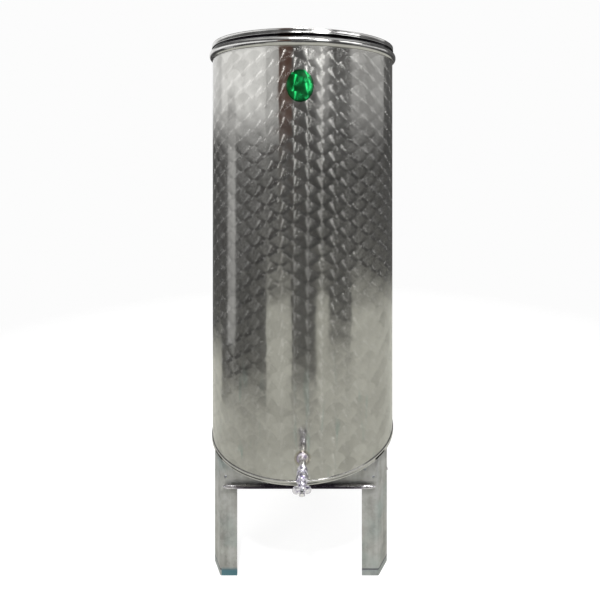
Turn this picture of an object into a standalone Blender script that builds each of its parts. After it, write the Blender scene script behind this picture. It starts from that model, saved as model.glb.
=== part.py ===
"""Upright stainless storage tank on a three-legged sheet stand, with a lift-off lid and a tap.

Metres, +Z up. The front, where the tap is, faces -Y. The origin is on the floor, in the middle
of the whole object's length and width, so the tank's own axis lies a little behind it.
"""

import bpy
import bmesh
from math import cos, pi, radians, sin
from mathutils import Matrix, Vector

# Driving dimensions of the tank
TANK_RADIUS = 0.310
WALL = 0.002
FIT = 0.0003
BOTTOM_Z = 0.375
SEAM_HEIGHT = 0.013
SEAM_BULGE = 0.0025
SEAM_DEPTH = 0.0065
BOTTOM_RECESS = 0.008
HOOP_LOW_Z = 1.6366
HOOP_HIGH_Z = 1.6673
HOOP_BULGE = 0.011
RIM_LOW_Z = 1.6735
RIM_TOP_Z = 1.6898
RIM_CLEARANCE = 0.0012
RIM_THICKNESS = 0.0018
LID_THICKNESS = 0.0018
LID_DISH_DEPTH = 0.0050
LID_DISH_RADIUS = 0.285
SHELL_PANELS = 8
ROUND_STEPS = 96

# Lid handle, a bent round bar
GRIP_SPAN = 0.120
GRIP_HEIGHT = 0.040
GRIP_BEND = 0.018
GRIP_BAR_RADIUS = 0.005

# Tap, with every reach measured forwards from the tank wall
TAP_Z = 0.452
BOSS_RADIUS = 0.016
BOSS_LENGTH = 0.004
PIPE_RADIUS = 0.0105
COLLAR_START = 0.051
COLLAR_END = 0.076
COLLAR_RADIUS = 0.0155
NUT_END = 0.094
NUT_ACROSS_CORNERS = 0.034
VALVE_END = 0.117
VALVE_RADIUS = 0.0118
BONNET_END = 0.124
BONNET_RADIUS = 0.0080
HANDLE_GAP = 0.0004
HANDLE_THICKNESS = 0.0055
HANDLE_LENGTH = 0.050
WING_RADIUS = 0.0105
NECK_HALF_HEIGHT = 0.0055
SCREW_HEAD_RADIUS = 0.0045
SCREW_HEAD_LENGTH = 0.0030
SPOUT_REACH = 0.1055
SPOUT_BOSS_DEPTH = 0.0160
SPOUT_END_DEPTH = 0.0390
SPOUT_RADIUS = 0.0085
SPOUT_BORE = 0.0055
TAP_REACH = BONNET_END + HANDLE_GAP + HANDLE_THICKNESS + FIT + SCREW_HEAD_LENGTH

# Label on the front
LABEL_ANGLE = radians(-1.4)
LABEL_WIDTH = 0.080
LABEL_MIDDLE_Z = 1.5235
LABEL_HEIGHT = 0.094
LABEL_THICKNESS = 0.0006
LABEL_STEPS = 16

# Weld line up the back
WELD_WIDTH = 0.005
WELD_THICKNESS = 0.0006

# Stand: three bent sheet legs at the corners of a triangle, with an apron along each side
STAND_TURN = radians(-3.65)
LEG_COUNT = 3
SIDE_DISTANCE = 0.181
CORNER_OFFSET = 0.2485
FLANGE_WIDTH = 0.0525
LEG_SHEET = 0.002
LEG_CLEARANCE = 0.005
FOOT_HEIGHT = 0.0195
FOOT_SHEET = 0.0038
APRON_SHEET = 0.0015
APRON_HALF_WIDTH = 0.238
APRON_LOW_Z = 0.283
RAIL_RADIUS = 0.0065
RAIL_Z = 0.2865
RAIL_TIP = 0.012
RIVET_OFFSET = 0.206
RIVET_Z = 0.335
RIVET_RADIUS = 0.0045
RIVET_LENGTH = 0.0016

# The origin is midway between the tap's front and the hoop's back
AXIS_Y = (TAP_REACH - HOOP_BULGE) / 2

# The aprons reach up inside the seam ring, to just under the tank's bottom plate
APRON_TOP_Z = BOTTOM_Z + BOTTOM_RECESS - FIT

# The legs stand under the ring itself and stop a little short of it
LEG_TOP_Z = BOTTOM_Z - LEG_CLEARANCE


def clear_scene():
    for thing in list(bpy.data.objects):
        bpy.data.objects.remove(thing, do_unlink=True)


def steel(name, colour, roughness, metallic=1.0):
    material = bpy.data.materials.new(name)
    material.use_nodes = True
    shader = material.node_tree.nodes["Principled BSDF"]
    shader.inputs["Base Color"].default_value = (*colour, 1.0)
    shader.inputs["Roughness"].default_value = roughness
    shader.inputs["Metallic"].default_value = metallic
    return material


def add_object(name, mesh, material, parent, location=(0, 0, 0), turn=0.0):
    mesh.materials.append(material)
    thing = bpy.data.objects.new(name, mesh)
    thing.location = location
    thing.rotation_euler = (0, 0, turn)
    thing.parent = parent
    bpy.context.collection.objects.link(thing)
    return thing


def finish_mesh(name, shape, smooth=True):
    bmesh.ops.recalc_face_normals(shape, faces=shape.faces)
    mesh = bpy.data.meshes.new(name)
    shape.to_mesh(mesh)
    shape.free()
    if smooth:
        mesh.shade_smooth()
        mesh.set_sharp_from_angle(angle=radians(35))
    return mesh


def turned_mesh(name, profile, steps=ROUND_STEPS):
    """Turn a closed profile of (radius, height) points a full circle about Z."""
    shape = bmesh.new()
    columns = []
    poles = {}
    for step in range(steps):
        angle = 2 * pi * step / steps
        column = []
        for index, (radius, height) in enumerate(profile):
            if radius > 0:
                column.append(shape.verts.new((radius * cos(angle), radius * sin(angle), height)))
                continue
            if index not in poles:
                poles[index] = shape.verts.new((0, 0, height))
            column.append(poles[index])
        columns.append(column)
    count = len(profile)
    for step in range(steps):
        here = columns[step]
        there = columns[(step + 1) % steps]
        for index in range(count):
            following = (index + 1) % count
            corners = []
            for corner in (here[index], there[index], there[following], here[following]):
                if corner not in corners:
                    corners.append(corner)
            if len(corners) > 2:
                shape.faces.new(corners)
    return finish_mesh(name, shape)


def prism_mesh(name, outline, low, high, smooth=True):
    """Stand a closed outline of (x, y) points up from low to high."""
    shape = bmesh.new()
    base = [shape.verts.new((x, y, low)) for x, y in outline]
    face = shape.faces.new(base)
    raised = bmesh.ops.extrude_face_region(shape, geom=[face])
    tops = [part for part in raised["geom"] if isinstance(part, bmesh.types.BMVert)]
    bmesh.ops.translate(shape, verts=tops, vec=(0, 0, high - low))
    return finish_mesh(name, shape, smooth)


def sector_outline(inner, outer, start, end, steps):
    """Plan of a curved strip, its angles measured from the front (-Y) towards +X."""
    angles = [start + (end - start) * step / steps for step in range(steps + 1)]
    outside = [(outer * sin(angle), -outer * cos(angle)) for angle in angles]
    inside = [(inner * sin(angle), -inner * cos(angle)) for angle in reversed(angles)]
    return outside + inside


def point_forwards(mesh):
    """Lay a shape that stands along +Z down, so that it points forwards along -Y."""
    mesh.transform(Matrix.Rotation(radians(90), 4, "X"))
    return mesh


def cylinder_profile(radius, start, end, bevel=0.0006):
    return [
        (0, start),
        (radius - bevel, start),
        (radius, start + bevel),
        (radius, end - bevel),
        (radius - bevel, end),
        (0, end),
    ]


def build_shell(tank, sheet):
    low = BOTTOM_Z + SEAM_HEIGHT + FIT
    high = RIM_TOP_Z - LID_THICKNESS - FIT
    share = 2 * pi / SHELL_PANELS
    gap = FIT / TANK_RADIUS / 2
    for index in range(SHELL_PANELS):
        start = (index - 0.5) * share + gap
        end = (index + 0.5) * share - gap
        outline = sector_outline(TANK_RADIUS - WALL, TANK_RADIUS, start, end, ROUND_STEPS // SHELL_PANELS)
        name = f"shell_panel_{index + 1}"
        add_object(name, prism_mesh(name, outline, low, high), sheet, tank)


def build_weld(tank, weld):
    half = WELD_WIDTH / TANK_RADIUS / 2
    inner = TANK_RADIUS + FIT
    outline = sector_outline(inner, inner + WELD_THICKNESS, pi - half, pi + half, 4)
    low = BOTTOM_Z + SEAM_HEIGHT + FIT
    high = HOOP_LOW_Z - FIT
    add_object("weld_seam", prism_mesh("weld_seam", outline, low, high), weld, tank)


def build_ends(tank, sheet):
    seam_inner = TANK_RADIUS - SEAM_DEPTH
    seam_outer = TANK_RADIUS + SEAM_BULGE
    edge = SEAM_HEIGHT / 4
    seam = [
        (seam_inner, BOTTOM_Z),
        (seam_outer - SEAM_BULGE, BOTTOM_Z),
        (seam_outer, BOTTOM_Z + edge),
        (seam_outer, BOTTOM_Z + SEAM_HEIGHT - edge),
        (seam_outer - SEAM_BULGE, BOTTOM_Z + SEAM_HEIGHT),
        (seam_inner, BOTTOM_Z + SEAM_HEIGHT),
    ]
    add_object("bottom_seam", turned_mesh("bottom_seam", seam), sheet, tank)
    plate_z = BOTTOM_Z + BOTTOM_RECESS
    plate = cylinder_profile(seam_inner - FIT, plate_z, plate_z + WALL)
    add_object("tank_bottom", turned_mesh("tank_bottom", plate), sheet, tank)


def build_hoop(tank, sheet):
    inner = TANK_RADIUS + FIT
    middle = (HOOP_LOW_Z + HOOP_HIGH_Z) / 2
    half = (HOOP_HIGH_Z - HOOP_LOW_Z) / 2
    steps = 10
    profile = []
    for step in range(steps + 1):
        angle = -pi / 2 + pi * step / steps
        bulge = max(HOOP_BULGE * cos(angle), 0.0012)
        profile.append((TANK_RADIUS + bulge, middle + half * sin(angle)))
    profile += [(inner, HOOP_HIGH_Z), (inner, HOOP_LOW_Z)]
    add_object("top_hoop", turned_mesh("top_hoop", profile), sheet, tank)


def build_lid(tank, sheet, bar):
    """A ring that wraps over the tank's mouth, and a sunk disc that fills it."""
    rim_inner = TANK_RADIUS + RIM_CLEARANCE
    rim_outer = rim_inner + RIM_THICKNESS
    dish_z = RIM_TOP_Z - LID_DISH_DEPTH
    step_radius = LID_DISH_RADIUS + LID_DISH_DEPTH
    bevel = 0.0007
    rim = [
        (rim_inner, RIM_LOW_Z),
        (rim_outer - bevel, RIM_LOW_Z),
        (rim_outer, RIM_LOW_Z + bevel),
        (rim_outer, RIM_TOP_Z - bevel),
        (rim_outer - bevel, RIM_TOP_Z),
        (step_radius, RIM_TOP_Z),
        (LID_DISH_RADIUS, dish_z),
        (LID_DISH_RADIUS, dish_z - LID_THICKNESS),
        (step_radius, RIM_TOP_Z - LID_THICKNESS),
        (rim_inner, RIM_TOP_Z - LID_THICKNESS),
    ]
    add_object("lid_rim", turned_mesh("lid_rim", rim), sheet, tank)
    panel = cylinder_profile(LID_DISH_RADIUS - FIT, dish_z - LID_THICKNESS, dish_z)
    add_object("lid_panel", turned_mesh("lid_panel", panel), sheet, tank)
    build_grip(tank, bar, dish_z)


def build_grip(tank, bar, surface_z):
    """The lid's handle: a round bar bent twice, its ends standing on the lid."""
    half = GRIP_SPAN / 2
    top = GRIP_HEIGHT - GRIP_BAR_RADIUS
    bend_steps = 6
    path = [(-half, FIT)]
    for side in (-1, 1):
        for step in range(bend_steps + 1):
            share = step / bend_steps
            angle = radians(90) * (share if side < 0 else 1 - share)
            x = side * (half - GRIP_BEND + GRIP_BEND * cos(angle))
            path.append((x, top - GRIP_BEND + GRIP_BEND * sin(angle)))
    path.append((half, FIT))
    curve = bpy.data.curves.new("lid_handle", "CURVE")
    curve.dimensions = "3D"
    curve.bevel_depth = GRIP_BAR_RADIUS
    curve.bevel_resolution = 3
    curve.use_fill_caps = True
    spline = curve.splines.new("POLY")
    spline.points.add(len(path) - 1)
    for point, (x, z) in zip(spline.points, path):
        point.co = (x, 0, z, 1)
    curve.materials.append(bar)
    grip = bpy.data.objects.new("lid_handle", curve)
    grip.location = (0, 0, surface_z)
    grip.parent = tank
    bpy.context.collection.objects.link(grip)


def build_label(tank, film):
    """An oval sticker wrapped round the wall, made of upright strips."""
    inner = TANK_RADIUS + FIT
    outer = inner + LABEL_THICKNESS
    half_angle = LABEL_WIDTH / TANK_RADIUS / 2
    shape = bmesh.new()
    rings = []
    for step in range(LABEL_STEPS + 1):
        turn = pi * (step + 0.5) / (LABEL_STEPS + 1)
        angle = LABEL_ANGLE - half_angle * cos(turn)
        half_height = LABEL_HEIGHT / 2 * sin(turn)
        ring = []
        for radius, side in ((inner, -1), (outer, -1), (outer, 1), (inner, 1)):
            height = LABEL_MIDDLE_Z + side * half_height
            ring.append(shape.verts.new((radius * sin(angle), -radius * cos(angle), height)))
        rings.append(ring)
    shape.faces.new(rings[0])
    shape.faces.new(rings[-1])
    for here, there in zip(rings, rings[1:]):
        for corner in range(4):
            following = (corner + 1) % 4
            shape.faces.new((here[corner], there[corner], there[following], here[following]))
    add_object("label", finish_mesh("label", shape), film, tank)


def build_outlet(wall, steel_pipe, chrome):
    """The fixed run from the wall to the valve, turned along the tap's own axis."""
    add_tap_turning(wall, "outlet_boss", BOSS_RADIUS, FIT, BOSS_LENGTH, steel_pipe)
    add_tap_turning(wall, "outlet_pipe", PIPE_RADIUS, BOSS_LENGTH + FIT, COLLAR_START - FIT, steel_pipe)
    add_tap_turning(wall, "pipe_collar", COLLAR_RADIUS, COLLAR_START, COLLAR_END, chrome)
    corner = NUT_ACROSS_CORNERS / 2
    hexagon = [(corner * cos(radians(60 * k)), corner * sin(radians(60 * k))) for k in range(6)]
    nut = prism_mesh("hex_nut", hexagon, COLLAR_END + FIT, NUT_END, smooth=False)
    add_object("hex_nut", point_forwards(nut), chrome, wall)


def add_tap_turning(wall, name, radius, start, end, material):
    mesh = turned_mesh(name, cylinder_profile(radius, start, end), steps=32)
    return add_object(name, point_forwards(mesh), material, wall)


def build_valve(wall, chrome):
    body = add_tap_turning(wall, "valve_body", VALVE_RADIUS, NUT_END + FIT, VALVE_END, chrome)
    boss_profile = cylinder_profile(SPOUT_RADIUS + 0.0012, -SPOUT_BOSS_DEPTH, 0.0)
    boss = add_object("spout_boss", turned_mesh("spout_boss", boss_profile, 32), chrome, wall)
    boss.location = (0, -SPOUT_REACH, 0)
    boss.hide_render = True
    boss.display_type = "WIRE"
    joined = body.modifiers.new("Spout boss", "BOOLEAN")
    joined.operation = "UNION"
    joined.object = boss
    add_tap_turning(wall, "valve_bonnet", BONNET_RADIUS, VALVE_END + FIT, BONNET_END, chrome)
    lip = 0.0005
    spout = [
        (SPOUT_BORE, -SPOUT_END_DEPTH),
        (SPOUT_RADIUS - lip, -SPOUT_END_DEPTH),
        (SPOUT_RADIUS, -SPOUT_END_DEPTH + lip),
        (SPOUT_RADIUS, -SPOUT_BOSS_DEPTH - FIT),
        (SPOUT_BORE, -SPOUT_BOSS_DEPTH - FIT),
    ]
    tube = add_object("valve_spout", turned_mesh("valve_spout", spout, 32), chrome, wall)
    tube.location = (0, -SPOUT_REACH, 0)


def wing_outline():
    """The butterfly handle seen from the front: two round wings and a narrow neck."""
    centre = HANDLE_LENGTH / 2 - WING_RADIUS
    spread = radians(120)
    steps = 12
    points = []
    for side in (1, -1):
        for step in range(steps + 1):
            angle = -spread + 2 * spread * step / steps
            points.append((side * (centre + WING_RADIUS * cos(angle)), side * WING_RADIUS * sin(angle)))
        points.append((0, side * NECK_HALF_HEIGHT))
    return points


def build_tap_handle(wall, chrome, screw):
    pivot = bpy.data.objects.new("tap_axis", None)
    pivot.location = (0, -BONNET_END - HANDLE_GAP, 0)
    pivot.parent = wall
    bpy.context.collection.objects.link(pivot)
    mesh = prism_mesh("tap_handle", wing_outline(), 0, HANDLE_THICKNESS)
    handle = add_object("tap_handle", point_forwards(mesh), chrome, pivot)
    rounding = handle.modifiers.new("Rounded edges", "BEVEL")
    rounding.width = 0.0012
    rounding.segments = 2
    rounding.limit_method = "ANGLE"
    rounding.angle_limit = radians(50)
    start = HANDLE_THICKNESS + FIT
    add_tap_turning(pivot, "handle_screw", SCREW_HEAD_RADIUS, start, start + SCREW_HEAD_LENGTH, screw)


def leg_outline(thickness):
    """Plan of a leg: a web across the corner and a flange bent back along each side.

    The web faces outwards along +Y, and its middle is at the origin.
    """
    web_half = SIDE_DISTANCE * sin(radians(60)) - CORNER_OFFSET * cos(radians(60))
    along = Vector((cos(radians(60)), -sin(radians(60))))
    corner = Vector((web_half, 0))
    tip = corner + along * FLANGE_WIDTH
    bend_in = Vector((web_half - thickness * sin(radians(30)) / cos(radians(30)), -thickness))
    tip_in = tip - Vector((sin(radians(60)), cos(radians(60)))) * thickness
    right = [tip_in, tip, corner]
    outer = [(point.x, point.y) for point in right]
    outer += [(-point.x, point.y) for point in reversed(right)]
    return outer + [(-bend_in.x, bend_in.y), (bend_in.x, bend_in.y)]


def build_legs(stand, galvanised):
    web_distance = CORNER_OFFSET * sin(radians(60)) + SIDE_DISTANCE * cos(radians(60))
    for index in range(LEG_COUNT):
        turn = 2 * pi * index / LEG_COUNT
        place = Vector((-sin(turn), cos(turn), 0)) * web_distance
        name = f"leg_{index + 1}"
        mesh = prism_mesh(name, leg_outline(LEG_SHEET), FOOT_HEIGHT + FIT, LEG_TOP_Z)
        add_object(name, mesh, galvanised, stand, place, turn)
        name = f"foot_{index + 1}"
        mesh = prism_mesh(name, leg_outline(FOOT_SHEET), 0.0, FOOT_HEIGHT)
        add_object(name, mesh, galvanised, stand, place, turn)


def build_aprons(stand, galvanised, zinc):
    face = SIDE_DISTANCE + FIT
    front = face + APRON_SHEET + FIT
    plate = [
        (-APRON_HALF_WIDTH, -face),
        (-APRON_HALF_WIDTH, -face - APRON_SHEET),
        (APRON_HALF_WIDTH, -face - APRON_SHEET),
        (APRON_HALF_WIDTH, -face),
    ]
    straight = APRON_HALF_WIDTH - RAIL_TIP
    tip_radius = RAIL_RADIUS / 4
    rail = [
        (0, -APRON_HALF_WIDTH),
        (tip_radius, -APRON_HALF_WIDTH),
        (RAIL_RADIUS, -straight),
        (RAIL_RADIUS, straight),
        (tip_radius, APRON_HALF_WIDTH),
        (0, APRON_HALF_WIDTH),
    ]
    for index in range(LEG_COUNT):
        side = bpy.data.objects.new(f"side_{index + 1}", None)
        side.rotation_euler = (0, 0, 2 * pi * index / LEG_COUNT)
        side.parent = stand
        bpy.context.collection.objects.link(side)
        name = f"apron_{index + 1}"
        mesh = prism_mesh(name, plate, APRON_LOW_Z, APRON_TOP_Z, smooth=False)
        add_object(name, mesh, galvanised, side)
        name = f"apron_rail_{index + 1}"
        mesh = turned_mesh(name, rail, steps=24)
        mesh.transform(Matrix.Rotation(radians(90), 4, "Y"))
        add_object(name, mesh, galvanised, side, (0, -front - RAIL_RADIUS, RAIL_Z))
        for number, offset in enumerate((-RIVET_OFFSET, RIVET_OFFSET), start=2 * index + 1):
            name = f"rivet_{number}"
            mesh = turned_mesh(name, cylinder_profile(RIVET_RADIUS, 0, RIVET_LENGTH), steps=16)
            add_object(name, point_forwards(mesh), zinc, side, (offset, -front, RIVET_Z))


def main():
    clear_scene()
    swirled = steel("Swirl-polished stainless sheet", (0.55, 0.54, 0.51), 0.22)
    plain = steel("Plain stainless sheet", (0.60, 0.60, 0.58), 0.28)
    weld = steel("Ground weld", (0.50, 0.49, 0.47), 0.40)
    bar = steel("Stainless bar", (0.62, 0.62, 0.60), 0.25)
    chrome = steel("Nickel-plated brass", (0.72, 0.70, 0.66), 0.12)
    zinc = steel("Zinc-plated rivets", (0.58, 0.58, 0.60), 0.35)
    galvanised = steel("Galvanised sheet", (0.48, 0.48, 0.47), 0.45)
    film = steel("Green label film", (0.10, 0.42, 0.20), 0.35, metallic=0.0)

    tank = bpy.data.objects.new("tank", None)
    tank.location = (0, AXIS_Y, 0)
    bpy.context.collection.objects.link(tank)
    build_shell(tank, swirled)
    build_weld(tank, weld)
    build_ends(tank, plain)
    build_hoop(tank, plain)
    build_lid(tank, plain, bar)
    build_label(tank, film)

    wall = bpy.data.objects.new("outlet_on_wall", None)
    wall.location = (0, -TANK_RADIUS, TAP_Z)
    wall.parent = tank
    bpy.context.collection.objects.link(wall)
    build_outlet(wall, plain, chrome)
    build_valve(wall, chrome)
    build_tap_handle(wall, chrome, zinc)

    stand = bpy.data.objects.new("stand", None)
    stand.location = (0, AXIS_Y, 0)
    stand.rotation_euler = (0, 0, STAND_TURN)
    bpy.context.collection.objects.link(stand)
    build_legs(stand, galvanised)
    build_aprons(stand, galvanised, zinc)


main()
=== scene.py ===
# Looks for the upright stainless storage tank: finishes, fine pieces, floor, light and camera.
from math import cos, pi, radians, sin, tan

import bmesh
import bpy
from mathutils import Matrix, Vector


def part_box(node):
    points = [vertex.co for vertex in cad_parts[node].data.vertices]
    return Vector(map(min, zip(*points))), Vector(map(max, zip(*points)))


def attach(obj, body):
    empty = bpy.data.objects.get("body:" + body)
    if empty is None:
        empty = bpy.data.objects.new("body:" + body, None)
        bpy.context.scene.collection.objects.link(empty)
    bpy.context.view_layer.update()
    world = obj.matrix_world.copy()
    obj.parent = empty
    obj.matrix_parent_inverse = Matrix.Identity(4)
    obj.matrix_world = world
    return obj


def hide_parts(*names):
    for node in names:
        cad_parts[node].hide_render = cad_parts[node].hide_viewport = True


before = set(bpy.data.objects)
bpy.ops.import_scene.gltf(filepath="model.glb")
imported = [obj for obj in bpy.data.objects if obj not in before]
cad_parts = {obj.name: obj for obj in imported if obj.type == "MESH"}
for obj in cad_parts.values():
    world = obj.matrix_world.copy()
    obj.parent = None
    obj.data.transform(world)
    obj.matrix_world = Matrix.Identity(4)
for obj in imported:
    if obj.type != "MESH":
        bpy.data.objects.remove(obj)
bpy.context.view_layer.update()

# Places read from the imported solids, in metres
HOOP_LOW, HOOP_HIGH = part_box("top_hoop")
SEAM_LOW, SEAM_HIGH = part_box("bottom_seam")
RIM_LOW, RIM_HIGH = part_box("lid_rim")
DISC_LOW, DISC_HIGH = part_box("lid_panel")
GRIP_LOW, GRIP_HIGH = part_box("lid_handle")
WALL_LOW, WALL_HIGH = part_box("shell_panel_1")
PLATE_LOW, PLATE_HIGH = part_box("tank_bottom")
LABEL_LOW, LABEL_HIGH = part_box("label")
PIPE_LOW, PIPE_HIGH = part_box("outlet_pipe")
VALVE_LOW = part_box("valve_body")[0]
SPOUT_LOW, SPOUT_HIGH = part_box("valve_spout")
AXIS = Vector(((HOOP_LOW.x + HOOP_HIGH.x) / 2, (HOOP_LOW.y + HOOP_HIGH.y) / 2, 0))
TANK_RADIUS = AXIS.y - WALL_LOW.y
HOOP_RADIUS = AXIS.y - HOOP_LOW.y
RIM_RADIUS = AXIS.y - RIM_LOW.y
DISC_RADIUS = AXIS.y - DISC_LOW.y
PLATE_RADIUS = AXIS.y - PLATE_LOW.y
SEAM_RADIUS = AXIS.y - SEAM_LOW.y
GAP_MIDDLE = (HOOP_HIGH.z + RIM_LOW.z) / 2
GAP_HALF = (RIM_LOW.z - HOOP_HIGH.z) / 2
TANK = Matrix.Translation(AXIS)

# The wall's thickness, the fit left between pieces, and how many flat sides make a round piece
WALL = 0.002
FIT = 0.0003
TANK_SIDES = 256
PLATE_SIDES = 192

# The tap's own axis runs straight forwards from the wall; its pieces are turned about it
TAP_HEIGHT = (PIPE_LOW.z + PIPE_HIGH.z) / 2
TAP_ROOT = Matrix.Translation((AXIS.x, AXIS.y - TANK_RADIUS, TAP_HEIGHT))
TAP = TAP_ROOT @ Matrix.Rotation(radians(90), 4, "X")
SPOUT = Matrix.Translation((AXIS.x, (SPOUT_LOW.y + SPOUT_HIGH.y) / 2, TAP_HEIGHT))

# Weld metal lies in ripples, each laid over the last
RIPPLE_PITCH = 0.0032
OUTLET_RIPPLES = 26
OUTLET_RIPPLE_RING = 0.0146

# The stand is turned a little under the tank
STAND_TURN = radians(-3.65)
STAND = TANK @ Matrix.Rotation(STAND_TURN, 4, "Z")
SIDES = [STAND @ Matrix.Rotation(2 * pi * index / 3, 4, "Z") for index in range(3)]
SIDE_DISTANCE = 0.181
CORNER_OFFSET = 0.2485
FLANGE_WIDTH = 0.0525
WEB_DISTANCE = CORNER_OFFSET * sin(radians(60)) + SIDE_DISTANCE * cos(radians(60))
LEG_SHEET = 0.002
LEG_CLEARANCE = 0.005
LEG_BEND = 0.004
FOOT_SHEET = 0.0038
FOOT_HEIGHT = 0.0195
APRON_SHEET = 0.0015
APRON_HALF_WIDTH = 0.238
RAIL_RADIUS = 0.0065
RAIL_HEIGHT = 0.2865
RAIL_TIP = 0.012
RIVET_RADIUS = 0.0045
RIVET_HEIGHT = 0.0016
RIVET_PLACES = ((0.206, 0.335), (0.232, 0.312))

# The photographer's place, measured from the tank's axis along and across the stand's front
CAMERA_ACROSS = 0.127
CAMERA_BACK = 1.6814
CAMERA_HEIGHT = 1.345
LENS_MM = 28.64
FRAME_HEIGHT_MM = 36.0
FRAME_WIDTH_MM = 20.25
SHIFT_ACROSS = -0.0665
SHIFT_DOWN = -0.2538

# Spot polishing: a worn pad pressed on the sheet in staggered columns, each spot over the last
SPOT_COLUMNS = 48
SPOT_PITCH = 0.0490
SPOT_RADIUS = 0.034
SPOT_PHASE_TURN = radians(10.35)
SPOT_PHASE_HEIGHT = 1.572

# Painted shade and stains: the near-black tone painted in as shade, how far round from the stand's front
# the legs' painted shadow lies on the seam, to both sides, and how far across that front the most stained
# foot stands
PAINTED_SHADE = "#0c0b0e"
LEG_SHADOW_TURN = radians(54.5)
LEG_SHADOW_HALF_WIDTH = radians(5.0)
STAINED_FOOT = -0.217
STAINED_FOOT_HALF = 0.028


def srgb(code):
    """One hex colour, such as "#a0a0a0", as linear red, green, blue and alpha."""
    shares = [int(code[place:place + 2], 16) / 255 for place in (1, 3, 5)]
    linear = [share / 12.92 if share <= 0.04045 else ((share + 0.055) / 1.055) ** 2.4 for share in shares]
    return (*linear, 1.0)


def per_metre(millimetres):
    """The scale at which a pattern's patches are this wide."""
    return 1000 / millimetres


def add_node(tree, kind, links=None, stops=(), **settings):
    """Add a node: links fill its inputs with sockets or values, stops are a ramp's places and tones.

    A tone is a hex colour, or a plain number for a ramp of numbers.
    """
    node = tree.nodes.new(kind)
    for option, value in settings.items():
        setattr(node, option, value)
    if stops:
        elements = node.color_ramp.elements
        elements.remove(elements[1])
        elements[0].position = stops[0][0]
        for place, tone in stops:
            spot = elements[0] if place == stops[0][0] else elements.new(place)
            spot.color = srgb(tone) if isinstance(tone, str) else (tone, tone, tone, 1.0)
    for key, value in (links or {}).items():
        if isinstance(value, bpy.types.NodeSocket):
            tree.links.new(value, node.inputs[key])
        else:
            node.inputs[key].default_value = value
    return node


def new_material(name, metallic, roughness, colour):
    """A material with its shader; returns the material, its tree and the shader."""
    material = bpy.data.materials.new(name)
    material.use_nodes = True
    tree = material.node_tree
    shader = tree.nodes["Principled BSDF"]
    shader.inputs["Metallic"].default_value = metallic
    shader.inputs["Roughness"].default_value = roughness
    shader.inputs["Base Color"].default_value = srgb(colour)
    return material, tree, shader


def place_in(tree, centre=(0, 0, 0), scale=(1, 1, 1), turn=0.0):
    """Object coordinates measured from a centre, turned about Z and scaled."""
    corner = add_node(tree, "ShaderNodeTexCoord").outputs["Object"]
    moved = add_node(tree, "ShaderNodeVectorMath", {0: corner, 1: centre}, operation="SUBTRACT")
    mapped = {"Vector": moved.outputs[0], "Rotation": (0, 0, turn), "Scale": scale}
    return add_node(tree, "ShaderNodeMapping", mapped).outputs["Vector"]


def turn_from_front(tree, place):
    """The angle round the upright axis in radians, 0 at the front and growing to the right."""
    parts = add_node(tree, "ShaderNodeSeparateXYZ", {0: place})
    forward = {0: parts.outputs["Y"], 1: -1.0}
    forward = add_node(tree, "ShaderNodeMath", forward, operation="MULTIPLY").outputs[0]
    turn = {0: parts.outputs["X"], 1: forward}
    return add_node(tree, "ShaderNodeMath", turn, operation="ARCTAN2").outputs[0]


def reach_from_axis(tree, place):
    """The level distance from the upright axis."""
    level = add_node(tree, "ShaderNodeVectorMath", {0: place, 1: (1, 1, 0)}, operation="MULTIPLY")
    level = add_node(tree, "ShaderNodeVectorMath", {0: level.outputs[0]}, operation="LENGTH")
    return level.outputs["Value"]


def tone_and_gloss(tree, shader, pattern, tones, gloss):
    """Let one pattern set both colour and roughness; returns the colour, for stains laid over it.

    Tones are the stops of the colour's ramp. Gloss is two values of the pattern, then the
    roughness at each of them.
    """
    rough = add_node(tree, "ShaderNodeMapRange", dict(enumerate([pattern, *gloss])))
    tree.links.new(rough.outputs[0], shader.inputs["Roughness"])
    colour = add_node(tree, "ShaderNodeValToRGB", {"Fac": pattern}, tones).outputs[0]
    tree.links.new(colour, shader.inputs["Base Color"])
    return colour


# Finishes

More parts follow.
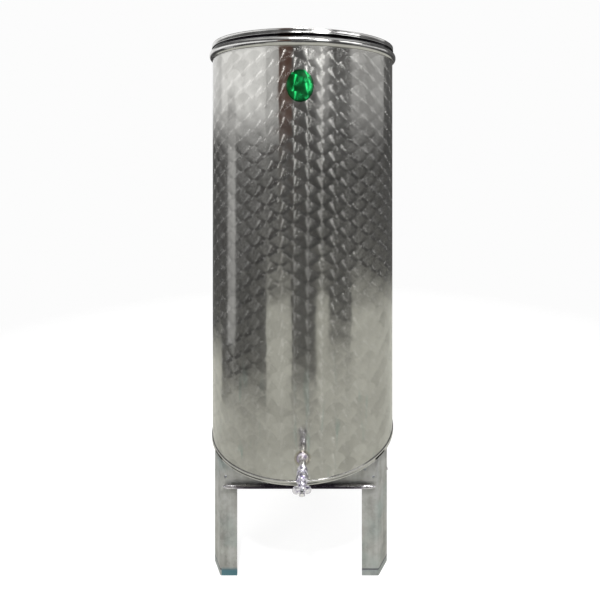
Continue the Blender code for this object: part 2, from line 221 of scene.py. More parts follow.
def polished_spots():
    """The lattice of polished spots, unrolled round the tank.

    Each spot is a circle. Of the circles that hold a point, the lowest was polished last and lies
    on top. Stretch points straight away from that spot's middle, Reach is the distance from it in
    metres, and Chance is a number from 0 to 1 that differs from spot to spot.
    """
    tree = bpy.data.node_groups.new("Polished spots", "ShaderNodeTree")
    outputs = {"Stretch": "NodeSocketVector", "Reach": "NodeSocketFloat", "Chance": "NodeSocketFloat"}
    for name, kind in outputs.items():
        tree.interface.new_socket(name, in_out="OUTPUT", socket_type=kind)
    place = place_in(tree, AXIS)
    height = add_node(tree, "ShaderNodeSeparateXYZ", {0: place}).outputs["Z"]
    # Columns are counted round the tank from the front, rows up it
    per_turn = SPOT_COLUMNS / (2 * pi)
    unrolled = {0: turn_from_front(tree, place), 1: per_turn, 2: -SPOT_PHASE_TURN * per_turn}
    columns = add_node(tree, "ShaderNodeMath", unrolled, operation="MULTIPLY_ADD")
    lifted = {0: height, 1: 1 / SPOT_PITCH, 2: -SPOT_PHASE_HEIGHT / SPOT_PITCH}
    rows = add_node(tree, "ShaderNodeMath", lifted, operation="MULTIPLY_ADD")
    point = add_node(tree, "ShaderNodeCombineXYZ", {0: columns.outputs[0], 1: rows.outputs[0]})
    left = add_node(tree, "ShaderNodeMath", {0: columns.outputs[0]}, operation="FLOOR")
    pitches = (2 * pi * TANK_RADIUS / SPOT_COLUMNS, SPOT_PITCH, 0)
    best = None
    # Four spots can hold the point: two in the column to its left and two in the one to its right
    for column_step, row_step in ((0, 0), (0, 1), (1, 0), (1, 1)):
        column = {0: left.outputs[0], 1: column_step}
        column = add_node(tree, "ShaderNodeMath", column, operation="ADD")
        odd = add_node(tree, "ShaderNodeMath", {0: column.outputs[0], 1: 1.0}, operation="PINGPONG")
        stagger = add_node(tree, "ShaderNodeMath", {0: odd.outputs[0], 1: 0.5}, operation="MULTIPLY")
        above = {0: rows.outputs[0], 1: stagger.outputs[0]}
        above = add_node(tree, "ShaderNodeMath", above, operation="SUBTRACT")
        whole = add_node(tree, "ShaderNodeMath", {0: above.outputs[0]}, operation="FLOOR")
        row = {0: whole.outputs[0], 1: stagger.outputs[0]}
        row = add_node(tree, "ShaderNodeMath", row, operation="ADD")
        row = add_node(tree, "ShaderNodeMath", {0: row.outputs[0], 1: row_step}, operation="ADD")
        centre = {0: column.outputs[0], 1: row.outputs[0]}
        centre = add_node(tree, "ShaderNodeCombineXYZ", centre)
        gap = {0: point.outputs[0], 1: centre.outputs[0]}
        gap = add_node(tree, "ShaderNodeVectorMath", gap, operation="SUBTRACT")
        offset = {0: gap.outputs[0], 1: pitches}
        offset = add_node(tree, "ShaderNodeVectorMath", offset, operation="MULTIPLY")
        reach = add_node(tree, "ShaderNodeVectorMath", {0: offset.outputs[0]}, operation="LENGTH")
        outside = {0: reach.outputs["Value"], 1: SPOT_RADIUS}
        outside = add_node(tree, "ShaderNodeMath", outside, operation="GREATER_THAN")
        # A spot that doesn't reach the point ranks far behind every one that does
        rank = {0: outside.outputs[0], 1: 1000.0, 2: row.outputs[0]}
        rank = add_node(tree, "ShaderNodeMath", rank, operation="MULTIPLY_ADD").outputs[0]
        found = [offset.outputs[0], centre.outputs[0]]
        if best is None:
            best, best_rank = found, rank
            continue
        ranks = {0: rank, 1: best_rank}
        later = add_node(tree, "ShaderNodeMath", ranks, operation="LESS_THAN").outputs[0]
        best = [
            add_node(tree, "ShaderNodeMix", {0: later, 4: old, 5: new}, data_type="VECTOR").outputs[1]
            for old, new in zip(best, found)
        ]
        best_rank = add_node(tree, "ShaderNodeMath", ranks, operation="MINIMUM").outputs[0]
    # The offset on the unrolled sheet, put back on the round wall
    steps = add_node(tree, "ShaderNodeSeparateXYZ", {0: best[0]})
    flat = add_node(tree, "ShaderNodeVectorMath", {0: place, 1: (1, 1, 0)}, operation="MULTIPLY")
    flat = add_node(tree, "ShaderNodeVectorMath", {0: flat.outputs[0]}, operation="NORMALIZE")
    sideways = {0: (0, 0, 1), 1: flat.outputs[0]}
    sideways = add_node(tree, "ShaderNodeVectorMath", sideways, operation="CROSS_PRODUCT")
    across = {0: sideways.outputs[0], "Scale": steps.outputs["X"]}
    across = add_node(tree, "ShaderNodeVectorMath", across, operation="SCALE")
    upward = add_node(tree, "ShaderNodeCombineXYZ", {2: steps.outputs["Y"]})
    stretch = {0: across.outputs[0], 1: upward.outputs[0]}
    stretch = add_node(tree, "ShaderNodeVectorMath", stretch, operation="ADD")
    stretch = add_node(tree, "ShaderNodeVectorMath", {0: stretch.outputs[0]}, operation="NORMALIZE")
    reach = add_node(tree, "ShaderNodeVectorMath", {0: best[0]}, operation="LENGTH")
    chance = add_node(tree, "ShaderNodeTexWhiteNoise", {"Vector": best[1]}, noise_dimensions="3D")
    results = {0: stretch.outputs[0], 1: reach.outputs["Value"], 2: chance.outputs["Value"]}
    add_node(tree, "NodeGroupOutput", results)
    return tree


def swirled_steel(spots):
    """Stainless sheet, spot polished: round scratches throw fans of light from every spot."""
    material, tree, shader = new_material("Spot-polished stainless sheet", 1.0, 0.30, "#bdbcb8")
    spot = add_node(tree, "ShaderNodeGroup", node_tree=spots)
    tree.links.new(spot.outputs["Stretch"], shader.inputs["Tangent"])
    shader.inputs["Anisotropic"].default_value = 0.97
    # The tone drifts in clouds 200 mm wide and differs a little from spot to spot
    place = place_in(tree, AXIS)
    cloud = {"Vector": place, "Scale": per_metre(200), "Detail": 4.0}
    cloud = add_node(tree, "ShaderNodeTexNoise", cloud).outputs["Fac"]
    tone = {0: spot.outputs["Chance"], 1: 0.35, 2: cloud}
    tone = add_node(tree, "ShaderNodeMath", tone, operation="MULTIPLY_ADD").outputs[0]
    sheen = [(0.35, "#aaa9a5"), (0.7, "#bebdb9"), (1.0, "#c9c8c4")]
    colour = add_node(tree, "ShaderNodeValToRGB", {"Fac": tone}, sheen).outputs[0]
    # Scratches stand 3 mm apart here, coarser than the real ones, so that a close view shows them
    ring = {0: spot.outputs["Reach"], 1: 2 * pi * per_metre(3)}
    ring = add_node(tree, "ShaderNodeMath", ring, operation="MULTIPLY").outputs[0]
    ring = add_node(tree, "ShaderNodeMath", {0: ring}, operation="SINE").outputs[0]
    gloss = {0: ring, 1: 0.50, 2: 0.60, 3: 0.09, 4: 0.30}
    gloss = add_node(tree, "ShaderNodeMapRange", gloss).outputs[0]
    tree.links.new(gloss, shader.inputs["Roughness"])
    # Dried runs of water leave faint blue-green marks low on the wall, 26 mm wide and 143 mm long
    run_scale = [per_metre(size) for size in (26.3, 26.3, 143)]
    runs = {"Vector": place_in(tree, AXIS, run_scale), "Scale": 1.0, "Detail": 2.0}
    runs = add_node(tree, "ShaderNodeTexNoise", runs).outputs["Fac"]
    runs = {0: runs, 1: 0.62, 2: 0.74, 3: 0.0, 4: 0.4}
    runs = add_node(tree, "ShaderNodeMapRange", runs).outputs[0]
    height = add_node(tree, "ShaderNodeSeparateXYZ", {0: place}).outputs["Z"]
    low = {0: height, 1: 0.45, 2: 0.85, 3: 1.0, 4: 0.0}
    low = add_node(tree, "ShaderNodeMapRange", low).outputs[0]
    runs = add_node(tree, "ShaderNodeMath", {0: runs, 1: low}, operation="MULTIPLY").outputs[0]
    stained = {0: runs, 6: colour, 7: srgb("#7fa39f")}
    colour = add_node(tree, "ShaderNodeMix", stained, data_type="RGBA").outputs[2]
    # Welding the outlet on left a straw and violet ring round it
    root = add_node(tree, "ShaderNodeTexCoord").outputs["Object"]
    root = {0: root, 1: TAP_ROOT.translation}
    root = add_node(tree, "ShaderNodeVectorMath", root, operation="DISTANCE").outputs["Value"]
    heat = {0: root, 1: 0.012, 2: 0.026, 3: 0.0, 4: 1.0}
    heat = add_node(tree, "ShaderNodeMapRange", heat).outputs[0]
    tint = [(0.0, "#b0a6ba"), (0.3, "#c4bccb"), (0.6, "#dcd6cb"), (1.0, "#ffffff")]
    tint = add_node(tree, "ShaderNodeValToRGB", {"Fac": heat}, tint).outputs[0]
    burnt = {0: 1.0, 6: colour, 7: tint}
    colour = add_node(tree, "ShaderNodeMix", burnt, data_type="RGBA", blend_type="MULTIPLY").outputs[2]
    # Painted shade: the wall is painted near black in the gap between hoop and lid, where shade falls
    gap = {0: height, 1: GAP_MIDDLE, 2: GAP_HALF + 0.001}
    gap = add_node(tree, "ShaderNodeMath", gap, operation="COMPARE").outputs[0]
    gap_shaded = {0: gap, 6: colour, 7: srgb(PAINTED_SHADE)}
    colour = add_node(tree, "ShaderNodeMix", gap_shaded, data_type="RGBA").outputs[2]
    tree.links.new(colour, shader.inputs["Base Color"])
    # Rolling and welding left the thin sheet very slightly wavy
    waves = {"Vector": place, "Scale": per_metre(91), "Detail": 1.0}
    waves = add_node(tree, "ShaderNodeTexNoise", waves).outputs["Fac"]
    bump = add_node(tree, "ShaderNodeBump", {"Height": waves, "Distance": 0.0012}).outputs[0]
    tree.links.new(bump, shader.inputs["Normal"])
    return material


def green_film(spots):
    """Clear green printed film: the polished spots shine through it in green."""
    material, tree, shader = new_material("Clear green label film", 1.0, 0.28, "#20a356")
    spot = add_node(tree, "ShaderNodeGroup", node_tree=spots)
    tree.links.new(spot.outputs["Stretch"], shader.inputs["Tangent"])
    shader.inputs["Anisotropic"].default_value = 0.97
    shader.inputs["Coat Weight"].default_value = 0.6
    shader.inputs["Coat Roughness"].default_value = 0.08
    # The ink lies unevenly, in patches 17 mm wide
    ink = {"Vector": place_in(tree, AXIS), "Scale": per_metre(16.7), "Detail": 3.0}
    ink = add_node(tree, "ShaderNodeTexNoise", ink).outputs["Fac"]
    tone = {0: spot.outputs["Chance"], 1: 0.4, 2: ink}
    tone = add_node(tree, "ShaderNodeMath", tone, operation="MULTIPLY_ADD").outputs[0]
    greens = [(0.3, "#0b6a38"), (0.7, "#149049"), (1.0, "#2bb565")]
    colour = add_node(tree, "ShaderNodeValToRGB", {"Fac": tone}, greens).outputs[0]
    # The film's cut edge is a little darker than its middle
    middle = (LABEL_LOW + LABEL_HIGH) / 2
    size = (LABEL_HIGH - LABEL_LOW) / 2
    oval = place_in(tree, (middle.x, LABEL_LOW.y, middle.z), (1 / size.x, 0, 1 / size.z))
    oval = add_node(tree, "ShaderNodeVectorMath", {0: oval}, operation="LENGTH").outputs["Value"]
    edge = {0: oval, 1: 0.88, 2: 0.94, 3: 0.0, 4: 0.75}
    edge = add_node(tree, "ShaderNodeMapRange", edge).outputs[0]
    edged = {0: edge, 6: colour, 7: srgb("#04371c")}
    colour = add_node(tree, "ShaderNodeMix", edged, data_type="RGBA").outputs[2]
    tree.links.new(colour, shader.inputs["Base Color"])
    return material


def rolled_steel():
    """Bright rolled stainless trim: fine lines run round it, and finger marks dull it in places."""
    material, tree, shader = new_material("Bright rolled stainless trim", 1.0, 0.14, "#c6c5c3")
    # Lines from the rolls are drawn 0.7 mm apart, and finger marks are 36 mm wide
    line_scale = [per_metre(size) for size in (333, 333, 0.7143)]
    lines = {"Vector": place_in(tree, AXIS, line_scale), "Scale": 1.0, "Detail": 3.0}
    lines = add_node(tree, "ShaderNodeTexNoise", lines).outputs["Fac"]
    marks = {"Vector": place_in(tree, AXIS), "Scale": per_metre(35.7), "Detail": 4.0}
    marks = add_node(tree, "ShaderNodeTexNoise", marks).outputs["Fac"]
    blend = {0: lines, 1: 0.5, 2: marks}
    blend = add_node(tree, "ShaderNodeMath", blend, operation="MULTIPLY_ADD").outputs[0]
    tones = [(0.45, "#b9b8b6"), (0.75, "#c8c7c5"), (1.0, "#d0cfce")]
    colour = tone_and_gloss(tree, shader, blend, tones, (0.5, 1.0, 0.09, 0.22))
    # Painted shade: the trim is painted near black beside the gap between hoop and lid, where shade falls
    height = add_node(tree, "ShaderNodeSeparateXYZ", {0: place_in(tree)}).outputs["Z"]
    away = add_node(tree, "ShaderNodeMath", {0: height, 1: GAP_MIDDLE}, operation="SUBTRACT").outputs[0]
    away = add_node(tree, "ShaderNodeMath", {0: away}, operation="ABSOLUTE").outputs[0]
    gap_shade = {0: away, 1: 0.0036, 2: 0.0052, 3: 0.94, 4: 0.0}
    gap_shade = add_node(tree, "ShaderNodeMapRange", gap_shade).outputs[0]
    gap_shaded = {0: gap_shade, 6: colour, 7: srgb(PAINTED_SHADE)}
    colour = add_node(tree, "ShaderNodeMix", gap_shaded, data_type="RGBA").outputs[2]
    # Painted shadow: the seam's lower edge is painted black where the legs' corners meet it, for the
    # shade of the gap between them
    place = place_in(tree, AXIS, turn=-STAND_TURN)
    turn = turn_from_front(tree, place)
    turn = add_node(tree, "ShaderNodeMath", {0: turn}, operation="ABSOLUTE").outputs[0]
    corner = {0: turn, 1: LEG_SHADOW_TURN, 2: LEG_SHADOW_HALF_WIDTH}
    corner = add_node(tree, "ShaderNodeMath", corner, operation="COMPARE").outputs[0]
    height = add_node(tree, "ShaderNodeSeparateXYZ", {0: place}).outputs["Z"]
    edge = {0: height, 1: SEAM_LOW.z + 0.0078, 2: SEAM_LOW.z + 0.0086, 3: 0.98, 4: 0.0}
    edge = add_node(tree, "ShaderNodeMapRange", edge).outputs[0]
    leg_shadow = add_node(tree, "ShaderNodeMath", {0: corner, 1: edge}, operation="MULTIPLY").outputs[0]
    leg_shadowed = {0: leg_shadow, 6: colour, 7: srgb(PAINTED_SHADE)}
    colour = add_node(tree, "ShaderNodeMix", leg_shadowed, data_type="RGBA").outputs[2]
    tree.links.new(colour, shader.inputs["Base Color"])
    bump = add_node(tree, "ShaderNodeBump", {"Height": lines, "Distance": 0.00002}).outputs[0]
    tree.links.new(bump, shader.inputs["Normal"])
    return material


def pressed_sheet():
    """Cold-rolled sheet pressed and spun: grey sheen with rings left by the spinning tool."""
    material, tree, shader = new_material("Spun cold-rolled stainless", 1.0, 0.26, "#bab9b5")
    place = place_in(tree, AXIS)
    # Tool marks are drawn 1.5 mm apart, so that they show
    rings = {"W": reach_from_axis(tree, place), "Scale": per_metre(1.5385), "Detail": 2.0}
    rings = add_node(tree, "ShaderNodeTexNoise", rings, noise_dimensions="1D").outputs["Fac"]
    cloud = {"Vector": place, "Scale": per_metre(111), "Detail": 5.0}
    cloud = add_node(tree, "ShaderNodeTexNoise", cloud).outputs["Fac"]
    blend = {0: rings, 1: 0.4, 2: cloud}
    blend = add_node(tree, "ShaderNodeMath", blend, operation="MULTIPLY_ADD").outputs[0]
    tones = [(0.4, "#a6a5a1"), (0.7, "#b9b8b4"), (1.0, "#c5c4c0")]
    tone_and_gloss(tree, shader, blend, tones, (0.4, 1.0, 0.20, 0.36))
    bump = add_node(tree, "ShaderNodeBump", {"Height": rings, "Distance": 0.00004}).outputs[0]
    tree.links.new(bump, shader.inputs["Normal"])
    return material


def drawn_steel():
    """Drawn stainless bar and pipe: bright, with small rubbed spots and a thin film of dirt."""
    material, tree, shader = new_material("Drawn stainless bar and pipe", 0.8, 0.18, "#c4c2c0")
    rubs = {"Vector": place_in(tree), "Scale": per_metre(4.545), "Detail": 4.0}
    rubs = add_node(tree, "ShaderNodeTexNoise", rubs).outputs["Fac"]
    tone_and_gloss(tree, shader, rubs, [(0.35, "#b2b0ae"), (0.7, "#cac8c6")], (0.35, 0.7, 0.12, 0.28))
    return material


def tinted_weld():
    """Weld metal left as it cooled: dull silver ripples with straw and violet heat colours."""
    material, tree, shader = new_material("Heat-tinted stainless weld", 0.8, 0.44, "#a8a49e")
    heat = {"Vector": place_in(tree), "Scale": per_metre(14.29), "Detail": 3.0}
    heat = add_node(tree, "ShaderNodeTexNoise", heat).outputs["Fac"]
    tones = [(0.3, "#a79cb4"), (0.5, "#c2bfba"), (0.65, "#c9bfa8"), (0.8, "#d0cdca")]
    tone_and_gloss(tree, shader, heat, tones, (0.3, 0.7, 0.36, 0.52))
    return material


def galvanised_sheet():
    """Galvanised sheet gone dull: soft grey clouds, faint crystals, rubbed streaks and stained feet.

    A skin of zinc oxide hides some of the metal, so it is less metallic than the steel.
    """
    material, tree, shader = new_material("Weathered galvanised sheet", 0.7, 0.42, "#a8a8a4")
    place = place_in(tree, AXIS)
    cloud = {"Vector": place, "Scale": per_metre(50), "Detail": 5.0}
    cloud = add_node(tree, "ShaderNodeTexNoise", cloud).outputs["Fac"]
    # Streaks 17 mm wide and 200 mm long run down the sheet
    streak_scale = [per_metre(size) for size in (16.7, 16.7, 200)]
    streaks = {"Vector": place_in(tree, AXIS, streak_scale), "Scale": 1.0, "Detail": 3.0}
    streaks = add_node(tree, "ShaderNodeTexNoise", streaks).outputs["Fac"]
    # Crystals of zinc are 8 mm across
    crystals = {"Vector": place, "Scale": per_metre(8.33)}
    crystals = add_node(tree, "ShaderNodeTexVoronoi", crystals).outputs["Color"]
    crystals = add_node(tree, "ShaderNodeSeparateColor", {0: crystals}).outputs[0]
    blend = {0: streaks, 1: 0.6, 2: cloud}
    blend = add_node(tree, "ShaderNodeMath", blend, operation="MULTIPLY_ADD").outputs[0]
    blend = {0: crystals, 1: 0.12, 2: blend}
    blend = add_node(tree, "ShaderNodeMath", blend, operation="MULTIPLY_ADD").outputs[0]
    tones = [(0.55, "#8c8c88"), (0.8, "#a3a39f"), (1.0, "#b2b2b0")]
    colour = tone_and_gloss(tree, shader, blend, tones, (0.5, 1.1, 0.58, 0.42))
    patches = {"Vector": place, "Scale": per_metre(143), "Detail": 3.0}
    patches = add_node(tree, "ShaderNodeTexNoise", patches).outputs["Fac"]
    patches = {0: patches, 1: 0.55, 2: 0.72, 3: 0.0, 4: 0.45}
    patches = add_node(tree, "ShaderNodeMapRange", patches).outputs[0]
    stained = {0: patches, 6: colour, 7: srgb("#8fa3a0")}
    colour = add_node(tree, "ShaderNodeMix", stained, data_type="RGBA").outputs[2]
    # Damp has turned the foot bands dark and blue-green, one more than the others
    height = add_node(tree, "ShaderNodeSeparateXYZ", {0: place}).outputs["Z"]
    foot = {0: height, 1: 0.016, 2: 0.028, 3: 1.0, 4: 0.0}
    foot = add_node(tree, "ShaderNodeMapRange", foot).outputs[0]
    side = place_in(tree, AXIS, turn=-STAND_TURN)
    side = add_node(tree, "ShaderNodeSeparateXYZ", {0: side}).outputs["X"]
    left = {0: side, 1: STAINED_FOOT, 2: STAINED_FOOT_HALF}
    left = add_node(tree, "ShaderNodeMath", left, operation="COMPARE").outputs[0]
    worst = add_node(tree, "ShaderNodeMapRange", {0: left, 3: 0.2, 4: 0.95}).outputs[0]
    damp = add_node(tree, "ShaderNodeMath", {0: foot, 1: worst}, operation="MULTIPLY").outputs[0]
    damped = {0: damp, 6: colour, 7: srgb("#4c7680")}
    colour = add_node(tree, "ShaderNodeMix", damped, data_type="RGBA").outputs[2]
    # A darker line runs along the top edge of the foot bands, faintest on the stained one
    line = {0: height, 1: FOOT_HEIGHT + 0.001}
    line = add_node(tree, "ShaderNodeMath", line, operation="SUBTRACT").outputs[0]
    line = add_node(tree, "ShaderNodeMath", {0: line}, operation="ABSOLUTE").outputs[0]
    line = {0: line, 1: 0.0012, 2: 0.0035, 3: 0.8, 4: 0.0}
    line = add_node(tree, "ShaderNodeMapRange", line).outputs[0]
    line_strength = add_node(tree, "ShaderNodeMapRange", {0: left, 3: 1.0, 4: 0.15}).outputs[0]
    line = add_node(tree, "ShaderNodeMath", {0: line, 1: line_strength}, operation="MULTIPLY").outputs[0]
    darker_line = {0: line, 6: colour, 7: srgb("#4c4a55")}
    colour = add_node(tree, "ShaderNodeMix", darker_line, data_type="RGBA").outputs[2]
    tree.links.new(colour, shader.inputs["Base Color"])
    # The thin sheet is dented in soft waves 91 mm wide
    waves = {"Vector": place, "Scale": per_metre(91), "Detail": 2.0}
    waves = add_node(tree, "ShaderNodeTexNoise", waves).outputs["Fac"]
    bump = add_node(tree, "ShaderNodeBump", {"Height": waves, "Distance": 0.0007}).outputs[0]
    tree.links.new(bump, shader.inputs["Normal"])
    return material


def folded_edge():
    """The rolled lower edge of each apron: painted shade darkens its middle, painted highlights brighten
    its ends.
    """
    material, tree, shader = new_material("Rolled edge with painted shade and highlights", 1.0, 0.28, "#6a6470")
    reach = reach_from_axis(tree, place_in(tree, AXIS))
    grain = {"Vector": place_in(tree), "Scale": per_metre(22.2), "Detail": 4.0}
    grain = add_node(tree, "ShaderNodeTexNoise", grain).outputs["Fac"]
    # Painted shade and highlight: the tone runs from dark in the middle of the roll to bright at its ends
    toward_ends = {0: grain, 1: 0.03, 2: reach}
    toward_ends = add_node(tree, "ShaderNodeMath", toward_ends, operation="MULTIPLY_ADD").outputs[0]
    share = {0: toward_ends, 1: 0.20, 2: 0.32, 3: 0.0, 4: 1.0}
    share = add_node(tree, "ShaderNodeMapRange", share).outputs[0]
    tones = [(0.0, "#3a3440"), (0.6, "#4f4856"), (0.72, "#9b94a3"), (0.85, "#e4e1e8")]
    colour = add_node(tree, "ShaderNodeValToRGB", {"Fac": share}, tones).outputs[0]
    # A painted highlight lies along the top of the roll towards its ends
    height = add_node(tree, "ShaderNodeSeparateXYZ", {0: place_in(tree)}).outputs["Z"]
    top = {0: height, 1: RAIL_HEIGHT + 0.001, 2: RAIL_HEIGHT + 0.004}
    top = add_node(tree, "ShaderNodeMapRange", top).outputs[0]
    top_highlight = {0: share, 1: 0.3, 2: 0.6, 3: 0.0, 4: 0.8}
    top_highlight = add_node(tree, "ShaderNodeMapRange", top_highlight).outputs[0]
    top_highlight = add_node(tree, "ShaderNodeMath", {0: top_highlight, 1: top}, operation="MULTIPLY").outputs[0]
    top_highlight = {0: top_highlight, 6: colour, 7: srgb("#b4b2b0")}
    colour = add_node(tree, "ShaderNodeMix", top_highlight, data_type="RGBA").outputs[2]
    tree.links.new(colour, shader.inputs["Base Color"])
    gloss = {0: grain, 1: 0.3, 2: 0.7, 3: 0.18, 4: 0.36}
    gloss = add_node(tree, "ShaderNodeMapRange", gloss).outputs[0]
    tree.links.new(gloss, shader.inputs["Roughness"])
    return material


def zinc_rivets():
    """Zinc-plated steel rivets: cool grey and slightly cloudy."""
    material, tree, shader = new_material("Zinc-plated rivet heads", 1.0, 0.32, "#a9abb0")
    cloud = {"Vector": place_in(tree), "Scale": per_metre(6.25), "Detail": 3.0}
    cloud = add_node(tree, "ShaderNodeTexNoise", cloud).outputs["Fac"]
    tone_and_gloss(tree, shader, cloud, [(0.35, "#85878d"), (0.65, "#b4b6ba")], (0.3, 0.7, 0.42, 0.26))
    return material


def nickel_plating():
    """Nickel-plated cast brass: bright, under a thin milky bloom with violet tarnish in patches."""
    material, tree, shader = new_material("Nickel-plated brass", 0.85, 0.10, "#d6d2d4")
    place = place_in(tree)
    cloud = {"Vector": place, "Scale": per_metre(7.7), "Detail": 4.0}
    cloud = add_node(tree, "ShaderNodeTexNoise", cloud).outputs["Fac"]
    tones = [(0.36, "#8a819f"), (0.46, "#dedbe6"), (0.7, "#fbfafc")]
    tone_and_gloss(tree, shader, cloud, tones, (0.3, 0.7, 0.20, 0.07))
    # The casting's skin is uneven, in lumps 2.4 mm wide
    cast = {"Vector": place, "Scale": per_metre(2.38), "Detail": 2.0}
    cast = add_node(tree, "ShaderNodeTexNoise", cast).outputs["Fac"]
    bump = add_node(tree, "ShaderNodeBump", {"Height": cast, "Distance": 0.00006}).outputs[0]
    tree.links.new(bump, shader.inputs["Normal"])
    return material


# Shapes

def new_piece(name, mesh, finish, body, nodes):
    """Put a finished mesh in the scene, on its body, in place of the solids it stands for."""
    piece = bpy.data.objects.new(name, mesh)
    bpy.context.collection.objects.link(piece)
    mesh.materials.clear()
    mesh.materials.append(finish)
    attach(piece, body)
    if nodes:
        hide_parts(*nodes)


def tap_stretch(node):
    """How far out from the wall one of the tap's pieces starts and ends."""
    low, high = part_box(node)
    wall = AXIS.y - TANK_RADIUS
    return wall - high.y, wall - low.y


def close_mesh(name, shape, smooth_angle=38):
    """Merge doubled points, turn the faces outwards and shade the round ones smooth."""
    bmesh.ops.remove_doubles(shape, verts=shape.verts, dist=0.000002)
    bmesh.ops.recalc_face_normals(shape, faces=shape.faces)
    mesh = bpy.data.meshes.new(name)
    shape.to_mesh(mesh)
    shape.free()
    mesh.shade_smooth()
    mesh.set_sharp_from_angle(angle=radians(smooth_angle))
    return mesh


def span_rings(shape, rings):
    """Faces from each ring of points to the next; a ring may be one point, repeated."""
    for here, there in zip(rings, rings[1:]):
        for step in range(len(here)):
            following = (step + 1) % len(here)
            corners = [here[step], here[following], there[following], there[step]]
            corners = list(dict.fromkeys(corners))
            if len(corners) > 2:
                shape.faces.new(corners)


def turned_mesh(name, profile, place=Matrix(), steps=64):
    """Turn a closed profile of (radius, height) points about Z, then put it in place."""
    shape = bmesh.new()
    rings = []
    turns = [2 * pi * step / steps for step in range(steps)]
    for radius, height in profile:
        if radius < 1e-7:
            rings.append([shape.verts.new(place @ Vector((0, 0, height)))] * steps)
            continue
        ring = [Vector((radius * cos(turn), radius * sin(turn), height)) for turn in turns]
        rings.append([shape.verts.new(place @ point) for point in ring])
    span_rings(shape, rings + rings[:1])
    return close_mesh(name, shape)


def arc(centre, radius, start, end, steps=6):
    """Points along an arc in the profile plane, its angles in degrees from the outward direction."""
    turns = [radians(start + (end - start) * step / steps) for step in range(steps + 1)]
    return [(centre[0] + radius * cos(t), centre[1] + radius * sin(t)) for t in turns]


def pressed_rings(middles, half_width, height, rise):
    """Profile points of rings pressed into a disc, each a smooth swell."""
    points = []
    for middle in middles:
        for step in range(9):
            share = step / 8
            swell = height + rise * sin(pi * share)
            points.append((middle - half_width + 2 * half_width * share, swell))
    return points


def round_corners(outline, radii, steps=5):
    """Replace each corner of a plan by a smooth bend that starts its radius away."""
    rounded = []
    for index, radius in enumerate(radii):
        here = Vector(outline[index])
        before = Vector(outline[index - 1])
        after = Vector(outline[(index + 1) % len(outline)])
        start = here + (before - here).normalized() * radius
        end = here + (after - here).normalized() * radius
        for step in range(steps + 1):
            share = step / steps
            rounded.append(start * (1 - share) ** 2 + here * 2 * share * (1 - share) + end * share ** 2)
    return rounded


def standing_sheet(name, outline, low, high, place, edge, smooth_angle=30):
    """Stand a plan up from low to high, with the cut edges at both ends eased."""
    shape = bmesh.new()
    base = shape.faces.new([shape.verts.new((point[0], point[1], low)) for point in outline])
    raised = bmesh.ops.extrude_face_region(shape, geom=[base])
    tops = [item for item in raised["geom"] if isinstance(item, bmesh.types.BMVert)]
    bmesh.ops.translate(shape, verts=tops, vec=(0, 0, high - low))
    rims = [line for line in shape.edges if abs(line.verts[0].co.z - line.verts[1].co.z) < 1e-6]
    bmesh.ops.bevel(shape, geom=rims, offset=edge, segments=2, profile=0.5, affect="EDGES")
    bmesh.ops.transform(shape, matrix=place, verts=shape.verts)
    return close_mesh(name, shape, smooth_angle)


def combine(name, whole, other, operation, smooth_angle):
    """Join two closed meshes, or cut the second out of the first, and keep the plain mesh."""
    carrier = bpy.data.objects.new(name, whole)
    tool = bpy.data.objects.new(f"{name}_tool", other)
    for thing in (carrier, tool):
        bpy.context.collection.objects.link(thing)
    change = carrier.modifiers.new("Combine", "BOOLEAN")
    change.operation = operation
    change.object = tool
    combined = carrier.evaluated_get(bpy.context.evaluated_depsgraph_get())
    mesh = bpy.data.meshes.new_from_object(combined)
    bpy.data.objects.remove(carrier)
    bpy.data.objects.remove(tool)
    mesh.set_sharp_from_angle(angle=radians(smooth_angle))
    return mesh


def new_tree(name, inputs):
    """A geometry tree that takes a mesh and the named inputs and gives a mesh; and its input node."""
    tree = bpy.data.node_groups.new(name, "GeometryNodeTree")
    for socket, kind in {"Geometry": "Geometry", **inputs}.items():
        tree.interface.new_socket(socket, in_out="INPUT", socket_type=f"NodeSocket{kind}")
    tree.interface.new_socket("Geometry", in_out="OUTPUT", socket_type="NodeSocketGeometry")
    return tree, add_node(tree, "NodeGroupInput")


def end_tree(tree, geometry, finish):
    """Make real meshes of what the tree has placed, and give them their finish."""
    real = add_node(tree, "GeometryNodeRealizeInstances", {0: geometry})
    dressed = {"Geometry": real.outputs[0], "Material": finish}
    dressed = add_node(tree, "GeometryNodeSetMaterial", dressed)
    add_node(tree, "NodeGroupOutput", {0: dressed.outputs[0]})
    return tree


def repeat_tree():
    """Set one small part on every point, facing outwards, each a little different in size."""
    inputs = {"Part": "Object", "Smallest": "Float", "Seed": "Int", "Finish": "Material"}
    tree, start = new_tree("Repeated small parts", inputs)
    part = add_node(tree, "GeometryNodeObjectInfo", {"Object": start.outputs["Part"]})
    facing = {"Name": "facing"}
    facing = add_node(tree, "GeometryNodeInputNamedAttribute", facing, data_type="FLOAT_VECTOR")
    turn = {"Vector": facing.outputs[0]}
    turn = add_node(tree, "FunctionNodeAlignRotationToVector", turn, axis="Z")
    size = {2: start.outputs["Smallest"], 3: 1.0, "Seed": start.outputs["Seed"]}
    size = add_node(tree, "FunctionNodeRandomValue", size, data_type="FLOAT")
    placed = {"Points": start.outputs["Geometry"], "Instance": part.outputs["Geometry"]}
    placed.update({"Rotation": turn.outputs[0], "Scale": size.outputs[1]})
    placed = add_node(tree, "GeometryNodeInstanceOnPoints", placed)
    return end_tree(tree, placed.outputs[0], start.outputs["Finish"])


